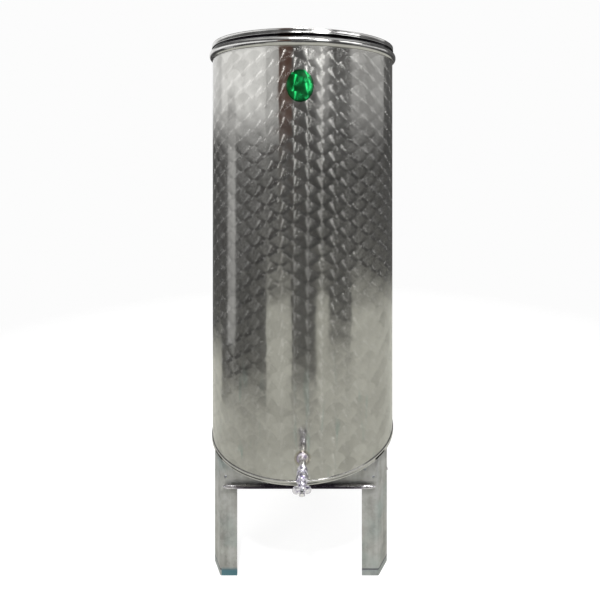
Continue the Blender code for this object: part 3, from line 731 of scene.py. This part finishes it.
def bar_tree():
    """Sweep a round bar along a path of edges; the path's own thickness shapes it."""
    tree, start = new_tree("Bar along a path", {"Sides": "Int", "Finish": "Material"})
    path = add_node(tree, "GeometryNodeMeshToCurve", {"Mesh": start.outputs["Geometry"]})
    thick = {"Name": "thickness"}
    thick = add_node(tree, "GeometryNodeInputNamedAttribute", thick, data_type="FLOAT")
    round_bar = {"Resolution": start.outputs["Sides"], "Radius": 1.0}
    round_bar = add_node(tree, "GeometryNodeCurvePrimitiveCircle", round_bar)
    swept = {"Curve": path.outputs[0], "Profile Curve": round_bar.outputs[0], "Fill Caps": True}
    swept["Scale"] = thick.outputs[0]
    swept = add_node(tree, "GeometryNodeCurveToMesh", swept)
    smooth = add_node(tree, "GeometryNodeSetShadeSmooth", {"Geometry": swept.outputs[0]})
    return end_tree(tree, smooth.outputs[0], start.outputs["Finish"])


def grow(name, mesh, tree, settings):
    """Run a node tree on a mesh of points or edges and keep the plain mesh that comes out."""
    carrier = bpy.data.objects.new(name, mesh)
    bpy.context.collection.objects.link(carrier)
    modifier = carrier.modifiers.new("Shape", "NODES")
    modifier.node_group = tree
    for socket in tree.interface.items_tree:
        if socket.in_out == "INPUT" and socket.name in settings:
            modifier[socket.identifier] = settings[socket.name]
    carrier.update_tag()
    grown = carrier.evaluated_get(bpy.context.evaluated_depsgraph_get())
    result = bpy.data.meshes.new_from_object(grown)
    bpy.data.objects.remove(carrier)
    result.name = name
    return result


def points_mesh(name, points, facings):
    """Loose points, each with the direction that it faces."""
    mesh = bpy.data.meshes.new(name)
    mesh.from_pydata(points, [], [])
    facing = mesh.attributes.new("facing", "FLOAT_VECTOR", "POINT")
    for item, direction in zip(facing.data, facings):
        item.vector = direction
    return mesh


def path_mesh(name, points, thickness):
    """One run of edges, with a thickness at each of its points."""
    mesh = bpy.data.meshes.new(name)
    mesh.from_pydata(points, [(index, index + 1) for index in range(len(points) - 1)], [])
    values = mesh.attributes.new("thickness", "FLOAT", "POINT")
    for item, value in zip(values.data, thickness):
        item.value = value
    return mesh


# The tank

def build_wall(finish):
    """The rolled wall, one sheet all the way round, open at the top and the bottom."""
    low, high = WALL_LOW.z, WALL_HIGH.z
    rows = 24
    profile = [(TANK_RADIUS, low + (high - low) * row / rows) for row in range(rows + 1)]
    profile += [(TANK_RADIUS - WALL, high), (TANK_RADIUS - WALL, low)]
    mesh = turned_mesh("tank_wall", profile, TANK, TANK_SIDES)
    panels = [f"shell_panel_{index}" for index in range(1, 9)]
    new_piece("tank_wall", mesh, finish, "tank", panels)


def build_seam(finish):
    """The folded joint that holds the bottom on: a doubled lip with a small roll at each edge."""
    low, high = SEAM_LOW.z, SEAM_HIGH.z
    inner = PLATE_RADIUS + FIT
    lip = 0.0012
    profile = [(inner, low)]
    profile += arc((SEAM_RADIUS - 2 * lip, low + 2 * lip), 2 * lip, -90, 0)
    profile += [(SEAM_RADIUS - 0.0002, low + 0.0055), (SEAM_RADIUS - 0.0007, low + 0.0070)]
    profile += arc((SEAM_RADIUS - 1.2 * lip, high - 1.2 * lip), 1.2 * lip, -20, 90)
    profile += [(inner, high)]
    mesh = turned_mesh("bottom_seam_fold", profile, TANK, TANK_SIDES)
    new_piece("bottom_seam_fold", mesh, finish, "tank", ["bottom_seam"])


def build_bottom(finish):
    """The bottom plate, with two pressed rings that keep it flat."""
    low = PLATE_LOW.z
    sheet = PLATE_HIGH.z - low
    under = [(0, low)] + pressed_rings((0.10, 0.22), 0.008, low, 0.0016) + [(PLATE_RADIUS, low)]
    upper = [(radius, height + sheet) for radius, height in reversed(under)]
    mesh = turned_mesh("pressed_bottom", under + upper, TANK, PLATE_SIDES)
    new_piece("pressed_bottom", mesh, finish, "tank", ["tank_bottom"])


def build_hoop(finish):
    """The rolled hoop that stiffens the mouth: a half-round bead between two flat lips."""
    low, high = HOOP_LOW.z, HOOP_HIGH.z
    middle = (low + high) / 2
    inner = TANK_RADIUS + FIT
    lip = 0.0012
    flat = 0.0022
    ease = 0.0003
    bulge = HOOP_RADIUS - TANK_RADIUS
    half = (high - low) / 2 - flat
    profile = [(inner, low), (TANK_RADIUS + lip - ease, low), (TANK_RADIUS + lip, low + ease)]
    for step in range(25):
        turn = -pi / 2 + pi * step / 24
        swell = max(cos(turn), 0.0) ** 0.9
        profile.append((TANK_RADIUS + lip + (bulge - lip) * swell, middle + half * sin(turn)))
    profile += [(TANK_RADIUS + lip, high - ease), (TANK_RADIUS + lip - ease, high), (inner, high)]
    mesh = turned_mesh("rolled_hoop", profile, TANK, TANK_SIDES)
    new_piece("rolled_hoop", mesh, finish, "tank", ["top_hoop"])


def build_label(finish):
    """The oval film, wrapped on the wall with an eased edge."""
    middle = (LABEL_LOW + LABEL_HIGH) / 2
    half = (LABEL_HIGH - LABEL_LOW) / 2
    thick = 0.0006
    turns = [2 * pi * step / 96 for step in range(96)]
    shape = bmesh.new()
    rings = []
    for share, depth in ((0, thick), (0.5, thick), (0.97, thick), (1, thick / 2), (1, 0), (0, 0)):
        ring = []
        for turn in turns:
            across = (middle.x + half.x * share * cos(turn)) / TANK_RADIUS
            reach = TANK_RADIUS + FIT + depth
            height = middle.z + half.z * share * sin(turn)
            point = Vector((reach * sin(across), -reach * cos(across), height))
            ring.append(shape.verts.new(TANK @ point))
            if share == 0:
                ring = ring * len(turns)
                break
        rings.append(ring)
    span_rings(shape, rings)
    new_piece("label_film", close_mesh("label_film", shape), finish, "tank", ["label"])


def build_weld(repeat, finish):
    """The long weld up the back and the short one round the outlet, as overlapping ripples."""
    ripple = [(0, -0.0005), (0.0016, -0.0002), (0.0021, 0.0), (0.0016, 0.00045)]
    ripple += [(0.0008, 0.0006), (0, 0.00062)]
    drop = bpy.data.objects.new("weld_drop", turned_mesh("weld_drop", ripple, steps=10))
    bpy.context.collection.objects.link(drop)
    settings = {"Part": drop, "Smallest": 0.86, "Seed": 7, "Finish": finish}
    low, high = SEAM_HIGH.z + 0.002, HOOP_LOW.z - 0.002
    count = int((high - low) / RIPPLE_PITCH)
    back = AXIS.y + TANK_RADIUS + FIT
    points = [(AXIS.x, back, low + (high - low) * index / (count - 1)) for index in range(count)]
    seam = points_mesh("weld_points", points, [(0, 1, 0)] * count)
    mesh = grow("weld_ripples", seam, repeat, settings)
    new_piece("weld_ripples", mesh, finish, "tank", ["weld_seam"])
    points = []
    for index in range(OUTLET_RIPPLES):
        turn = 2 * pi * index / OUTLET_RIPPLES
        across, up = OUTLET_RIPPLE_RING * cos(turn), OUTLET_RIPPLE_RING * sin(turn)
        points.append(TAP @ Vector((across, up, 0.0012)))
    ring = points_mesh("outlet_weld_points", points, [(0, -1, 0)] * OUTLET_RIPPLES)
    mesh = grow("outlet_weld", ring, repeat, settings)
    new_piece("outlet_weld", mesh, finish, "tank", [])
    bpy.data.objects.remove(drop)


# The lid

def build_lid(trim, sheet):
    """The lid's rim with a rolled lower edge, and its sunk disc with pressed rings."""
    low, high = RIM_LOW.z, RIM_HIGH.z
    inner = TANK_RADIUS + 0.0012
    ledge = DISC_RADIUS + FIT
    step_radius = ledge + (high - DISC_HIGH.z)
    sheet_thickness = DISC_HIGH.z - DISC_LOW.z
    profile = [(inner, low)]
    profile += arc((RIM_RADIUS - 0.0008, low + 0.0008), 0.0008, -90, 0, 4)
    profile += [(RIM_RADIUS, low + 0.0030), (RIM_RADIUS - 0.0006, low + 0.0040)]
    profile += [(RIM_RADIUS - 0.0006, high - 0.0030)]
    profile += arc((RIM_RADIUS - 0.0028, high - 0.0022), 0.0022, 0, 90)
    profile += [(step_radius + 0.001, high), (step_radius - 0.0008, high - 0.0006)]
    profile += [(ledge + 0.0008, DISC_HIGH.z + 0.0005), (ledge, DISC_HIGH.z)]
    profile += [(ledge, DISC_LOW.z), (step_radius, high - sheet_thickness)]
    profile += [(inner, high - sheet_thickness)]
    mesh = turned_mesh("lid_band", profile, TANK, TANK_SIDES)
    new_piece("lid_band", mesh, trim, "lid", ["lid_rim"])
    top = DISC_HIGH.z
    upper = [(0, top)] + pressed_rings((0.115, 0.185, 0.255), 0.006, top, -0.0012)
    upper += [(DISC_RADIUS, top)]
    under = [(radius, height - sheet_thickness) for radius, height in reversed(upper)]
    mesh = turned_mesh("lid_disc", upper + under, TANK, PLATE_SIDES)
    new_piece("lid_disc", mesh, sheet, "lid", ["lid_panel"])


def build_grip(bar, finish):
    """The lid's handle: a bent round bar whose ends flare out where they are welded on."""
    radius = (GRIP_HIGH.y - GRIP_LOW.y) / 2
    half = (GRIP_HIGH.x - GRIP_LOW.x) / 2 - radius
    base = GRIP_LOW.z
    top = GRIP_HIGH.z - radius
    bend = 0.018
    path = [(-half, base), (-half, base + 0.0015), (-half, base + 0.003), (-half, base + 0.008)]
    path += arc((-half + bend, top - bend), bend, 180, 90, 12)
    path += [(-x, z) for x, z in reversed(path)]
    flare = [1.7, 1.35, 1.12, 1.0]
    scale = flare + [1.0] * (len(path) - 8) + flare[::-1]
    points = [(AXIS.x + x, AXIS.y, z) for x, z in path]
    mesh = path_mesh("grip_path", points, [radius * share for share in scale])
    grown = grow("lid_grip", mesh, bar, {"Sides": 32, "Finish": finish})
    grown.set_sharp_from_angle(angle=radians(50))
    new_piece("lid_grip", grown, finish, "lid", ["lid_handle"])


# The tap

def build_outlet(pipe, weld):
    """The pipe out of the wall: a filleted weld at its root and a thread at its end."""
    start, end = tap_stretch("outlet_boss")
    root = [(0, start), (0.0158, start), (0.0150, 0.0012), (0.0132, 0.0024), (0.0118, 0.0034)]
    root += [(0.0110, end), (0, end)]
    mesh = turned_mesh("outlet_root", root, TAP)
    new_piece("outlet_root", mesh, weld, "tank", ["outlet_boss"])
    start, end = tap_stretch("outlet_pipe")
    radius, crest, groove = 0.0105, 0.0104, 0.0098
    run = [(0, start), (radius - 0.0003, start), (radius, start + 0.0005), (radius, end - 0.0107)]
    for ridge in range(5):
        foot = end - 0.0102 + 0.0018 * ridge
        run += [(groove, foot), (groove, foot + 0.0003), (crest, foot + 0.0009), (crest, foot + 0.0012)]
    run += [(groove, end - 0.0009), (groove, end), (0, end)]
    mesh = turned_mesh("threaded_pipe", run, TAP)
    new_piece("threaded_pipe", mesh, pipe, "tank", ["outlet_pipe"])


def build_coupling(plating):
    """The collar with its turned groove, and the six-sided union nut with rounded corners."""
    start, end = tap_stretch("pipe_collar")
    collar = [(0, start), (0.0136, start), (0.0155, start + 0.0014), (0.0155, start + 0.0056)]
    collar += [(0.0150, start + 0.0062), (0.0141, start + 0.0064), (0.0141, start + 0.0076)]
    collar += [(0.0150, start + 0.0078), (0.0155, start + 0.0084), (0.0155, start + 0.0160)]
    collar += arc((0.0143, start + 0.0180), 0.0012, 0, 90, 4)
    collar += [(0.0128, start + 0.0194), (0.0128, end - 0.0008), (0.0120, end), (0, end)]
    mesh = turned_mesh("coupling_collar", collar, TAP, 96)
    new_piece("coupling_collar", mesh, plating, "tank", ["pipe_collar"])
    start, end = tap_stretch("hex_nut")
    corner = 0.0170
    flat = corner * cos(radians(30))
    chamfer = flat - 0.0002
    shape = bmesh.new()
    rings = [[], [], [], []]
    for step in range(120):
        turn = 2 * pi * step / 120
        reach = flat / cos((turn % radians(60)) - radians(30))
        drop = (reach - chamfer) * tan(radians(30))
        direction = Vector((cos(turn), sin(turn), 0))
        outline = ((chamfer, start), (reach, start + drop), (reach, end - drop), (chamfer, end))
        for ring, (radius, along) in zip(rings, outline):
            ring.append(shape.verts.new(TAP @ (direction * radius + Vector((0, 0, along)))))
    span_rings(shape, rings)
    shape.faces.new(rings[0])
    shape.faces.new(rings[3])
    mesh = close_mesh("union_nut", shape, 20)
    new_piece("union_nut", mesh, plating, "tank", ["hex_nut"])


def build_valve(plating):
    """The ball valve: a waisted body with a boss below it, and the stem's bonnet in front."""
    start, end = tap_stretch("valve_body")
    body = [(0, start), (0.0106, start), (0.0112, start + 0.0007), (0.0112, start + 0.0025)]
    body += [(0.0104, start + 0.0035), (0.0106, start + 0.0052), (0.0114, start + 0.0077)]
    body += [(0.0118, start + 0.0107), (0.0117, start + 0.0142), (0.0111, start + 0.0172)]
    body += [(0.0102, start + 0.0192), (0.0102, start + 0.0205), (0.0108, start + 0.0212)]
    body += [(0.0108, start + 0.0222), (0.0103, end), (0, end)]
    foot = VALVE_LOW.z - TAP_HEIGHT
    boss = [(0, foot), (0.0091, foot), (0.0097, foot + 0.0006), (0.0097, foot + 0.0030)]
    boss += [(0.0090, foot + 0.0036), (0.0090, -0.0020), (0, -0.0020)]
    body_mesh = turned_mesh("valve_casting", body, TAP)
    boss_mesh = turned_mesh("valve_boss", boss, SPOUT)
    mesh = combine("valve_casting", body_mesh, boss_mesh, "UNION", 30)
    new_piece("valve_casting", mesh, plating, "tank", ["valve_body"])
    start, end = tap_stretch("valve_bonnet")
    stem = [(0, start), (0.0074, start), (0.0080, start + 0.0006), (0.0080, start + 0.0027)]
    stem += [(0.0066, start + 0.0033), (0.0066, start + 0.0049), (0.0060, end), (0, end)]
    mesh = turned_mesh("stem_bonnet", stem, TAP)
    new_piece("stem_bonnet", mesh, plating, "tank", ["valve_bonnet"])


def build_spout(plating):
    """The spout: a bored tube cut at a slant, so that its mouth shows from the front."""
    outer = (SPOUT_HIGH.x - SPOUT_LOW.x) / 2
    bore = 0.0052
    slant = 0.0185
    lip = 0.0006
    top = SPOUT_HIGH.z - TAP_HEIGHT
    low = SPOUT_LOW.z - TAP_HEIGHT
    shape = bmesh.new()
    rings = [[], [], [], [], [], [], []]
    for step in range(64):
        turn = 2 * pi * step / 64
        direction = Vector((cos(turn), sin(turn), 0))
        front = 0.5 - 0.5 * sin(turn)
        cut = low + slant * front ** 1.3
        outline = ((outer - lip, top), (outer - lip, cut + 0.0035), (outer, cut + 0.0025))
        outline += ((outer, cut + lip), (outer - 0.0008, cut), (bore, cut + 0.0008), (bore, top))
        for ring, (reach, height) in zip(rings, outline):
            ring.append(shape.verts.new(SPOUT @ (direction * reach + Vector((0, 0, height)))))
    span_rings(shape, rings + rings[:1])
    mesh = close_mesh("slant_spout", shape)
    new_piece("slant_spout", mesh, plating, "tank", ["valve_spout"])


def build_tap_handle(plating):
    """The butterfly handle: two round wings on a narrow neck, with a round hub in the middle."""
    half_length, wing, neck = 0.0250, 0.0105, 0.0055
    centre = half_length - wing
    outline = []
    for side in (1, -1):
        outline += [(side * x, side * y) for x, y in arc((centre, 0), wing, -120, 120, 24)]
        outline.append((side * 0.0020, side * (neck + 0.0002)))
        outline.append((-side * 0.0020, side * (neck + 0.0002)))
    start, end = tap_stretch("tap_handle")
    wings = standing_sheet("butterfly", outline, start, end - 0.0006, TAP, 0.0012, 60)
    hub = [(0, start), (0.0066, start), (0.0070, start + 0.0004), (0.0070, end - 0.0010)]
    hub += [(0.0064, end - 0.0002), (0.0058, end), (0, end)]
    mesh = combine("butterfly_handle", wings, turned_mesh("handle_hub", hub, TAP), "UNION", 45)
    new_piece("butterfly_handle", mesh, plating, "tap_lever", ["tap_handle"])


def build_screw(zinc):
    """The domed screw that holds the handle, with a slot across its head."""
    start, end = tap_stretch("handle_screw")
    head = [(0, start), (0.0043, start), (0.0045, start + 0.0003), (0.0045, start + 0.0014)]
    head += [(0.0040, start + 0.0022), (0.0028, start + 0.0028), (0.0012, end), (0, end)]
    shape = bmesh.new()
    bmesh.ops.create_cube(shape, size=1.0)
    slot = Matrix.Diagonal((0.012, 0.0011, 0.0026, 1))
    middle = Matrix.Translation((0, 0, end)) @ Matrix.Rotation(radians(35), 4, "Z")
    bmesh.ops.transform(shape, matrix=TAP @ middle @ slot, verts=shape.verts)
    head_mesh = turned_mesh("hub_screw", head, TAP, 48)
    mesh = combine("hub_screw", head_mesh, close_mesh("screw_slot", shape), "DIFFERENCE", 40)
    new_piece("hub_screw", mesh, zinc, "tap_lever", ["handle_screw"])


# The stand

def leg_outline(thickness):
    """Plan of a leg, its web across the corner and a flange bent back along each side."""
    web_half = SIDE_DISTANCE * sin(radians(60)) - CORNER_OFFSET * cos(radians(60))
    along = Vector((cos(radians(60)), -sin(radians(60))))
    inward = Vector((-sin(radians(60)), -cos(radians(60))))
    corner = Vector((web_half, 0))
    tip = corner + along * FLANGE_WIDTH
    corner_in = Vector((web_half - thickness * tan(radians(30)), -thickness))
    tip_in = tip + inward * thickness
    right = [corner_in, tip_in, tip, corner]
    radii = [max(LEG_BEND - thickness, 0.0005), 0.0004, 0.0004, LEG_BEND]
    left = [Vector((-point.x, point.y)) for point in reversed(right)]
    return round_corners(right + left, radii + radii[::-1])


def build_legs(sheet):
    """Three bent legs, each standing in a thicker folded foot band."""
    top = SEAM_LOW.z - LEG_CLEARANCE
    for index, side in enumerate(SIDES, start=1):
        place = side @ Matrix.Translation((0, WEB_DISTANCE, 0))
        name = f"bent_leg_{index}"
        mesh = standing_sheet(name, leg_outline(LEG_SHEET), FOOT_HEIGHT + FIT, top, place, 0.0006)
        new_piece(name, mesh, sheet, "tank", [f"leg_{index}"])
        name = f"folded_foot_{index}"
        mesh = standing_sheet(name, leg_outline(FOOT_SHEET), 0.0, FOOT_HEIGHT, place, 0.0009)
        new_piece(name, mesh, sheet, "tank", [f"foot_{index}"])


def build_aprons(bar, sheet, edge):
    """The three flat aprons between the legs, and the rolled edge along the foot of each."""
    face = SIDE_DISTANCE + FIT
    half = APRON_HALF_WIDTH
    low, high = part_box("apron_1")
    plate = [(-half, -face), (-half, -face - APRON_SHEET), (half, -face - APRON_SHEET), (half, -face)]
    reach = face + APRON_SHEET + FIT + RAIL_RADIUS
    # The roll tapers to a rounded tip at each end
    stations = [(-half, 0.25), (-half + 0.003, 0.45), (-half + 0.007, 0.75), (-half + RAIL_TIP, 0.95)]
    stations += [(-half + 0.018, 1.0), (-0.11, 1.0), (0.0, 1.0)]
    stations += [(-x, share) for x, share in reversed(stations[:-1])]
    thickness = [RAIL_RADIUS * share for x, share in stations]
    for index, place in enumerate(SIDES, start=1):
        name = f"apron_sheet_{index}"
        mesh = standing_sheet(name, plate, low.z, high.z, place, 0.0003)
        new_piece(name, mesh, sheet, "tank", [f"apron_{index}"])
        points = [place @ Vector((x, -reach, RAIL_HEIGHT)) for x, share in stations]
        name = f"rolled_edge_{index}"
        path = path_mesh("rail_path", points, thickness)
        mesh = grow(name, path, bar, {"Sides": 32, "Finish": edge})
        mesh.set_sharp_from_angle(angle=radians(60))
        new_piece(name, mesh, edge, "tank", [f"apron_rail_{index}"])


def build_rivets(repeat, finish):
    """Domed rivets hold each apron to the legs' flanges, two high at both ends."""
    radius, height = RIVET_RADIUS, RIVET_HEIGHT
    head = [(0, 0.0), (radius - 0.0003, 0.0), (radius, 0.0003), (0.92 * radius, 0.55 * height)]
    head += [(0.66 * radius, 0.86 * height), (0.30 * radius, height), (0, height)]
    part = bpy.data.objects.new("rivet_head", turned_mesh("rivet_head", head, steps=24))
    bpy.context.collection.objects.link(part)
    reach = SIDE_DISTANCE + FIT + APRON_SHEET + FIT
    points = []
    facings = []
    for place in SIDES:
        for across, up in RIVET_PLACES:
            for x in (-across, across):
                points.append(place @ Vector((x, -reach, up)))
                facings.append(place.to_3x3() @ Vector((0, -1, 0)))
    settings = {"Part": part, "Smallest": 0.96, "Seed": 3, "Finish": finish}
    mesh = grow("apron_rivets", points_mesh("rivet_points", points, facings), repeat, settings)
    nodes = [f"rivet_{number}" for number in range(1, 7)]
    new_piece("apron_rivets", mesh, finish, "tank", nodes)
    bpy.data.objects.remove(part)


# Studio

# Plain tones of the studio that the polished metal reflects
TONES = {
    "white": "#f0f0f0", "pale": "#d0d0d0", "grey": "#a0a0a0", "slate": "#505050", "shade": "#404040",
    "walnut": "#503020", "ceiling": "#b0b0b0", "floor": "#b0b0a8",
}
# Nine plain panels stand round the tank: where each starts, in degrees round from
# the front, where its foot shows (0 is a slope of one down, 1 is eye level), and its tone
PANELS = [
    (-180, 0.6, "pale"),
    (-120, 0.5, "white"),
    (-45, 0.7, "pale"),
    (-30, 0.7, "walnut"),
    (-15, 0.5, "slate"),
    (15, 0.7, "grey"),
    (30, 0.6, "slate"),
    (60, 0.7, "grey"),
    (120, 0.7, "slate"),
]
# Slopes between which one height of the studio gives way to the next
EYE_LEVEL = (0.0, 0.1)
UPPER_ROOM = (0.3, 0.4)
CEILING = (0.9, 1.3)
# A pale post, two windows and two lamps: from and to in degrees, lowest and highest slope, tone
# and strength
FEATURES = [
    (-105, -90, -0.4, 0.1, "grey", 1.0),
    (0, 30, 0.2, 0.3, "white", 0.8),
    (60, 120, 0.2, 0.3, "white", 0.8),
    (15, 30, 0.4, 0.9, "white", 8.0),
    (45, 75, 0.4, 0.6, "white", 3.0),
]
REFLECTED_POWER = 1.6
FLOOR_RADIUS = 3.2
FLOOR_FADE = (1.5, 3.1)


def studio_world():
    """Plain white to the eye; polished metal sees nine plain panels, a ceiling and a floor."""
    world = bpy.data.worlds.new("Pale studio")
    bpy.context.scene.world = world
    world.use_nodes = True
    tree = world.node_tree
    background = tree.nodes["Background"]
    towards = add_node(tree, "ShaderNodeTexCoord").outputs["Generated"]
    # Share is how far round the room, from 0 to 1 with the front in the middle
    share = {0: turn_from_front(tree, towards), 1: 1 / (2 * pi), 2: 0.5}
    share = add_node(tree, "ShaderNodeMath", share, operation="MULTIPLY_ADD").outputs[0]
    rise = add_node(tree, "ShaderNodeSeparateXYZ", {0: towards}).outputs["Z"]
    slope = {0: rise, 1: reach_from_axis(tree, towards)}
    slope = add_node(tree, "ShaderNodeMath", slope, operation="DIVIDE").outputs[0]
    feet = [(0.5 + start / 360, foot) for start, foot, tone in PANELS]
    tones = [(0.5 + start / 360, TONES[tone]) for start, foot, tone in PANELS]
    ramps = []
    for stops in (feet, tones):
        ramp = add_node(tree, "ShaderNodeValToRGB", {"Fac": share}, stops)
        ramp.color_ramp.interpolation = "CONSTANT"
        ramps.append(ramp.outputs[0])
    foot, panels = ramps
    # From the floor up: shade below eye level, the panels, the upper room, the ceiling
    bands = srgb(TONES["shade"])
    levels = ((EYE_LEVEL, panels), (UPPER_ROOM, srgb(TONES["slate"])), (CEILING, srgb(TONES["ceiling"])))
    for (start, end), tone in levels:
        reached = add_node(tree, "ShaderNodeMapRange", {0: slope, 1: start, 2: end}).outputs[0]
        level = {0: reached, 6: bands, 7: tone}
        bands = add_node(tree, "ShaderNodeMix", level, data_type="RGBA").outputs[2]
    for start, end, sill, head, tone, strength in FEATURES:
        beside = {0: share, 1: 0.5 + (start + end) / 720, 2: (end - start) / 720}
        beside = add_node(tree, "ShaderNodeMath", beside, operation="COMPARE").outputs[0]
        level = {0: slope, 1: (sill + head) / 2, 2: (head - sill) / 2}
        level = add_node(tree, "ShaderNodeMath", level, operation="COMPARE").outputs[0]
        inside = add_node(tree, "ShaderNodeMath", {0: beside, 1: level}, operation="MULTIPLY").outputs[0]
        lit = {0: srgb(TONES[tone])[:3], "Scale": strength}
        lit = add_node(tree, "ShaderNodeVectorMath", lit, operation="SCALE").outputs[0]
        bands = {0: inside, 6: bands, 7: lit}
        bands = add_node(tree, "ShaderNodeMix", bands, data_type="RGBA").outputs[2]
    # Below each panel's foot lies the floor
    under = add_node(tree, "ShaderNodeMath", {0: slope, 1: 1.0}, operation="ADD").outputs[0]
    under = add_node(tree, "ShaderNodeMath", {0: foot, 1: under}, operation="SUBTRACT").outputs[0]
    under = add_node(tree, "ShaderNodeMapRange", {0: under, 1: -0.04, 2: 0.04}).outputs[0]
    shown = {0: under, 6: bands, 7: srgb(TONES["floor"])}
    shown = add_node(tree, "ShaderNodeMix", shown, data_type="RGBA").outputs[2]
    shown = {0: shown, "Scale": REFLECTED_POWER}
    shown = add_node(tree, "ShaderNodeVectorMath", shown, operation="SCALE").outputs[0]
    paths = add_node(tree, "ShaderNodeLightPath")
    glossy = {0: paths.outputs["Is Glossy Ray"], 6: srgb("#fcfcfc"), 7: shown}
    colour = add_node(tree, "ShaderNodeMix", glossy, data_type="RGBA").outputs[2]
    tree.links.new(colour, background.inputs["Color"])
    background.inputs["Strength"].default_value = 1.0


def add_light(name, place, target, size, power, glossy):
    """A square lamp aimed at a target; one that isn't glossy leaves no reflection of itself."""
    data = bpy.data.lights.new(name, "AREA")
    data.size = size
    data.energy = power
    light = bpy.data.objects.new(name, data)
    light.location = place
    light.rotation_mode = "QUATERNION"
    light.rotation_quaternion = (Vector(target) - Vector(place)).to_track_quat("-Z", "Y")
    light.visible_glossy = glossy
    bpy.context.collection.objects.link(light)


def make_lights():
    """A small high lamp for bright glints, and a large soft one for the dull surfaces."""
    add_light("high_front_lamp", (-0.22, -2.7, 4.9), (0, 0, 1.2), size=0.40, power=260, glossy=True)
    add_light("left_softbox", (-3.0, -2.5, 3.0), (0, 0, 0.9), size=2.0, power=60, glossy=False)


def make_floor():
    """A round pale floor that fades out at its rim, so that no edge shows."""
    shape = bmesh.new()
    bmesh.ops.create_circle(shape, cap_ends=True, segments=96, radius=FLOOR_RADIUS)
    mesh = bpy.data.meshes.new("studio_floor")
    shape.to_mesh(mesh)
    shape.free()
    floor = bpy.data.objects.new("studio_floor", mesh)
    bpy.context.collection.objects.link(floor)
    material, tree, shader = new_material("Pale floor paint", 0.0, 0.7, "#7a7a7a")
    shader.inputs["Emission Color"].default_value = srgb("#ffffff")
    shader.inputs["Emission Strength"].default_value = 0.84
    place = add_node(tree, "ShaderNodeTexCoord").outputs["Object"]
    reach = add_node(tree, "ShaderNodeVectorMath", {0: place}, operation="LENGTH").outputs["Value"]
    fade = {0: reach, 1: FLOOR_FADE[0], 2: FLOOR_FADE[1], 3: 1.0, 4: 0.0}
    fade = add_node(tree, "ShaderNodeMapRange", fade).outputs[0]
    tree.links.new(fade, shader.inputs["Alpha"])
    mesh.materials.append(material)
    floor.visible_glossy = False


def make_camera():
    """The photographer's camera: level, upright in format and shifted down onto the tank."""
    data = bpy.data.cameras.new("Portrait camera")
    data.sensor_fit = "VERTICAL"
    data.sensor_height = FRAME_HEIGHT_MM
    data.sensor_width = FRAME_WIDTH_MM
    data.lens = LENS_MM
    data.shift_x = SHIFT_ACROSS
    data.shift_y = SHIFT_DOWN
    camera = bpy.data.objects.new("Portrait camera", data)
    camera.location = STAND @ Vector((CAMERA_ACROSS, -CAMERA_BACK, CAMERA_HEIGHT))
    camera.rotation_euler = (radians(90), 0, STAND_TURN)
    bpy.context.collection.objects.link(camera)
    bpy.context.scene.camera = camera
    bpy.context.scene.view_settings.view_transform = "Standard"


def main():
    """Set up the studio, make the finishes, then build every piece in its finish."""
    make_camera()
    studio_world()
    make_lights()
    make_floor()
    spots = polished_spots()
    trim = rolled_steel()
    sheet = pressed_sheet()
    weld = tinted_weld()
    pipe = drawn_steel()
    plating = nickel_plating()
    zinc = zinc_rivets()
    galvanised = galvanised_sheet()
    repeat = repeat_tree()
    bar = bar_tree()
    build_wall(swirled_steel(spots))
    build_seam(trim)
    build_bottom(sheet)
    build_hoop(trim)
    build_label(green_film(spots))
    build_weld(repeat, weld)
    build_lid(trim, sheet)
    build_grip(bar, pipe)
    build_outlet(pipe, weld)
    build_coupling(plating)
    build_valve(plating)
    build_spout(plating)
    build_tap_handle(plating)
    build_screw(zinc)
    build_legs(galvanised)
    build_aprons(bar, galvanised, folded_edge())
    build_rivets(repeat, zinc)


main()
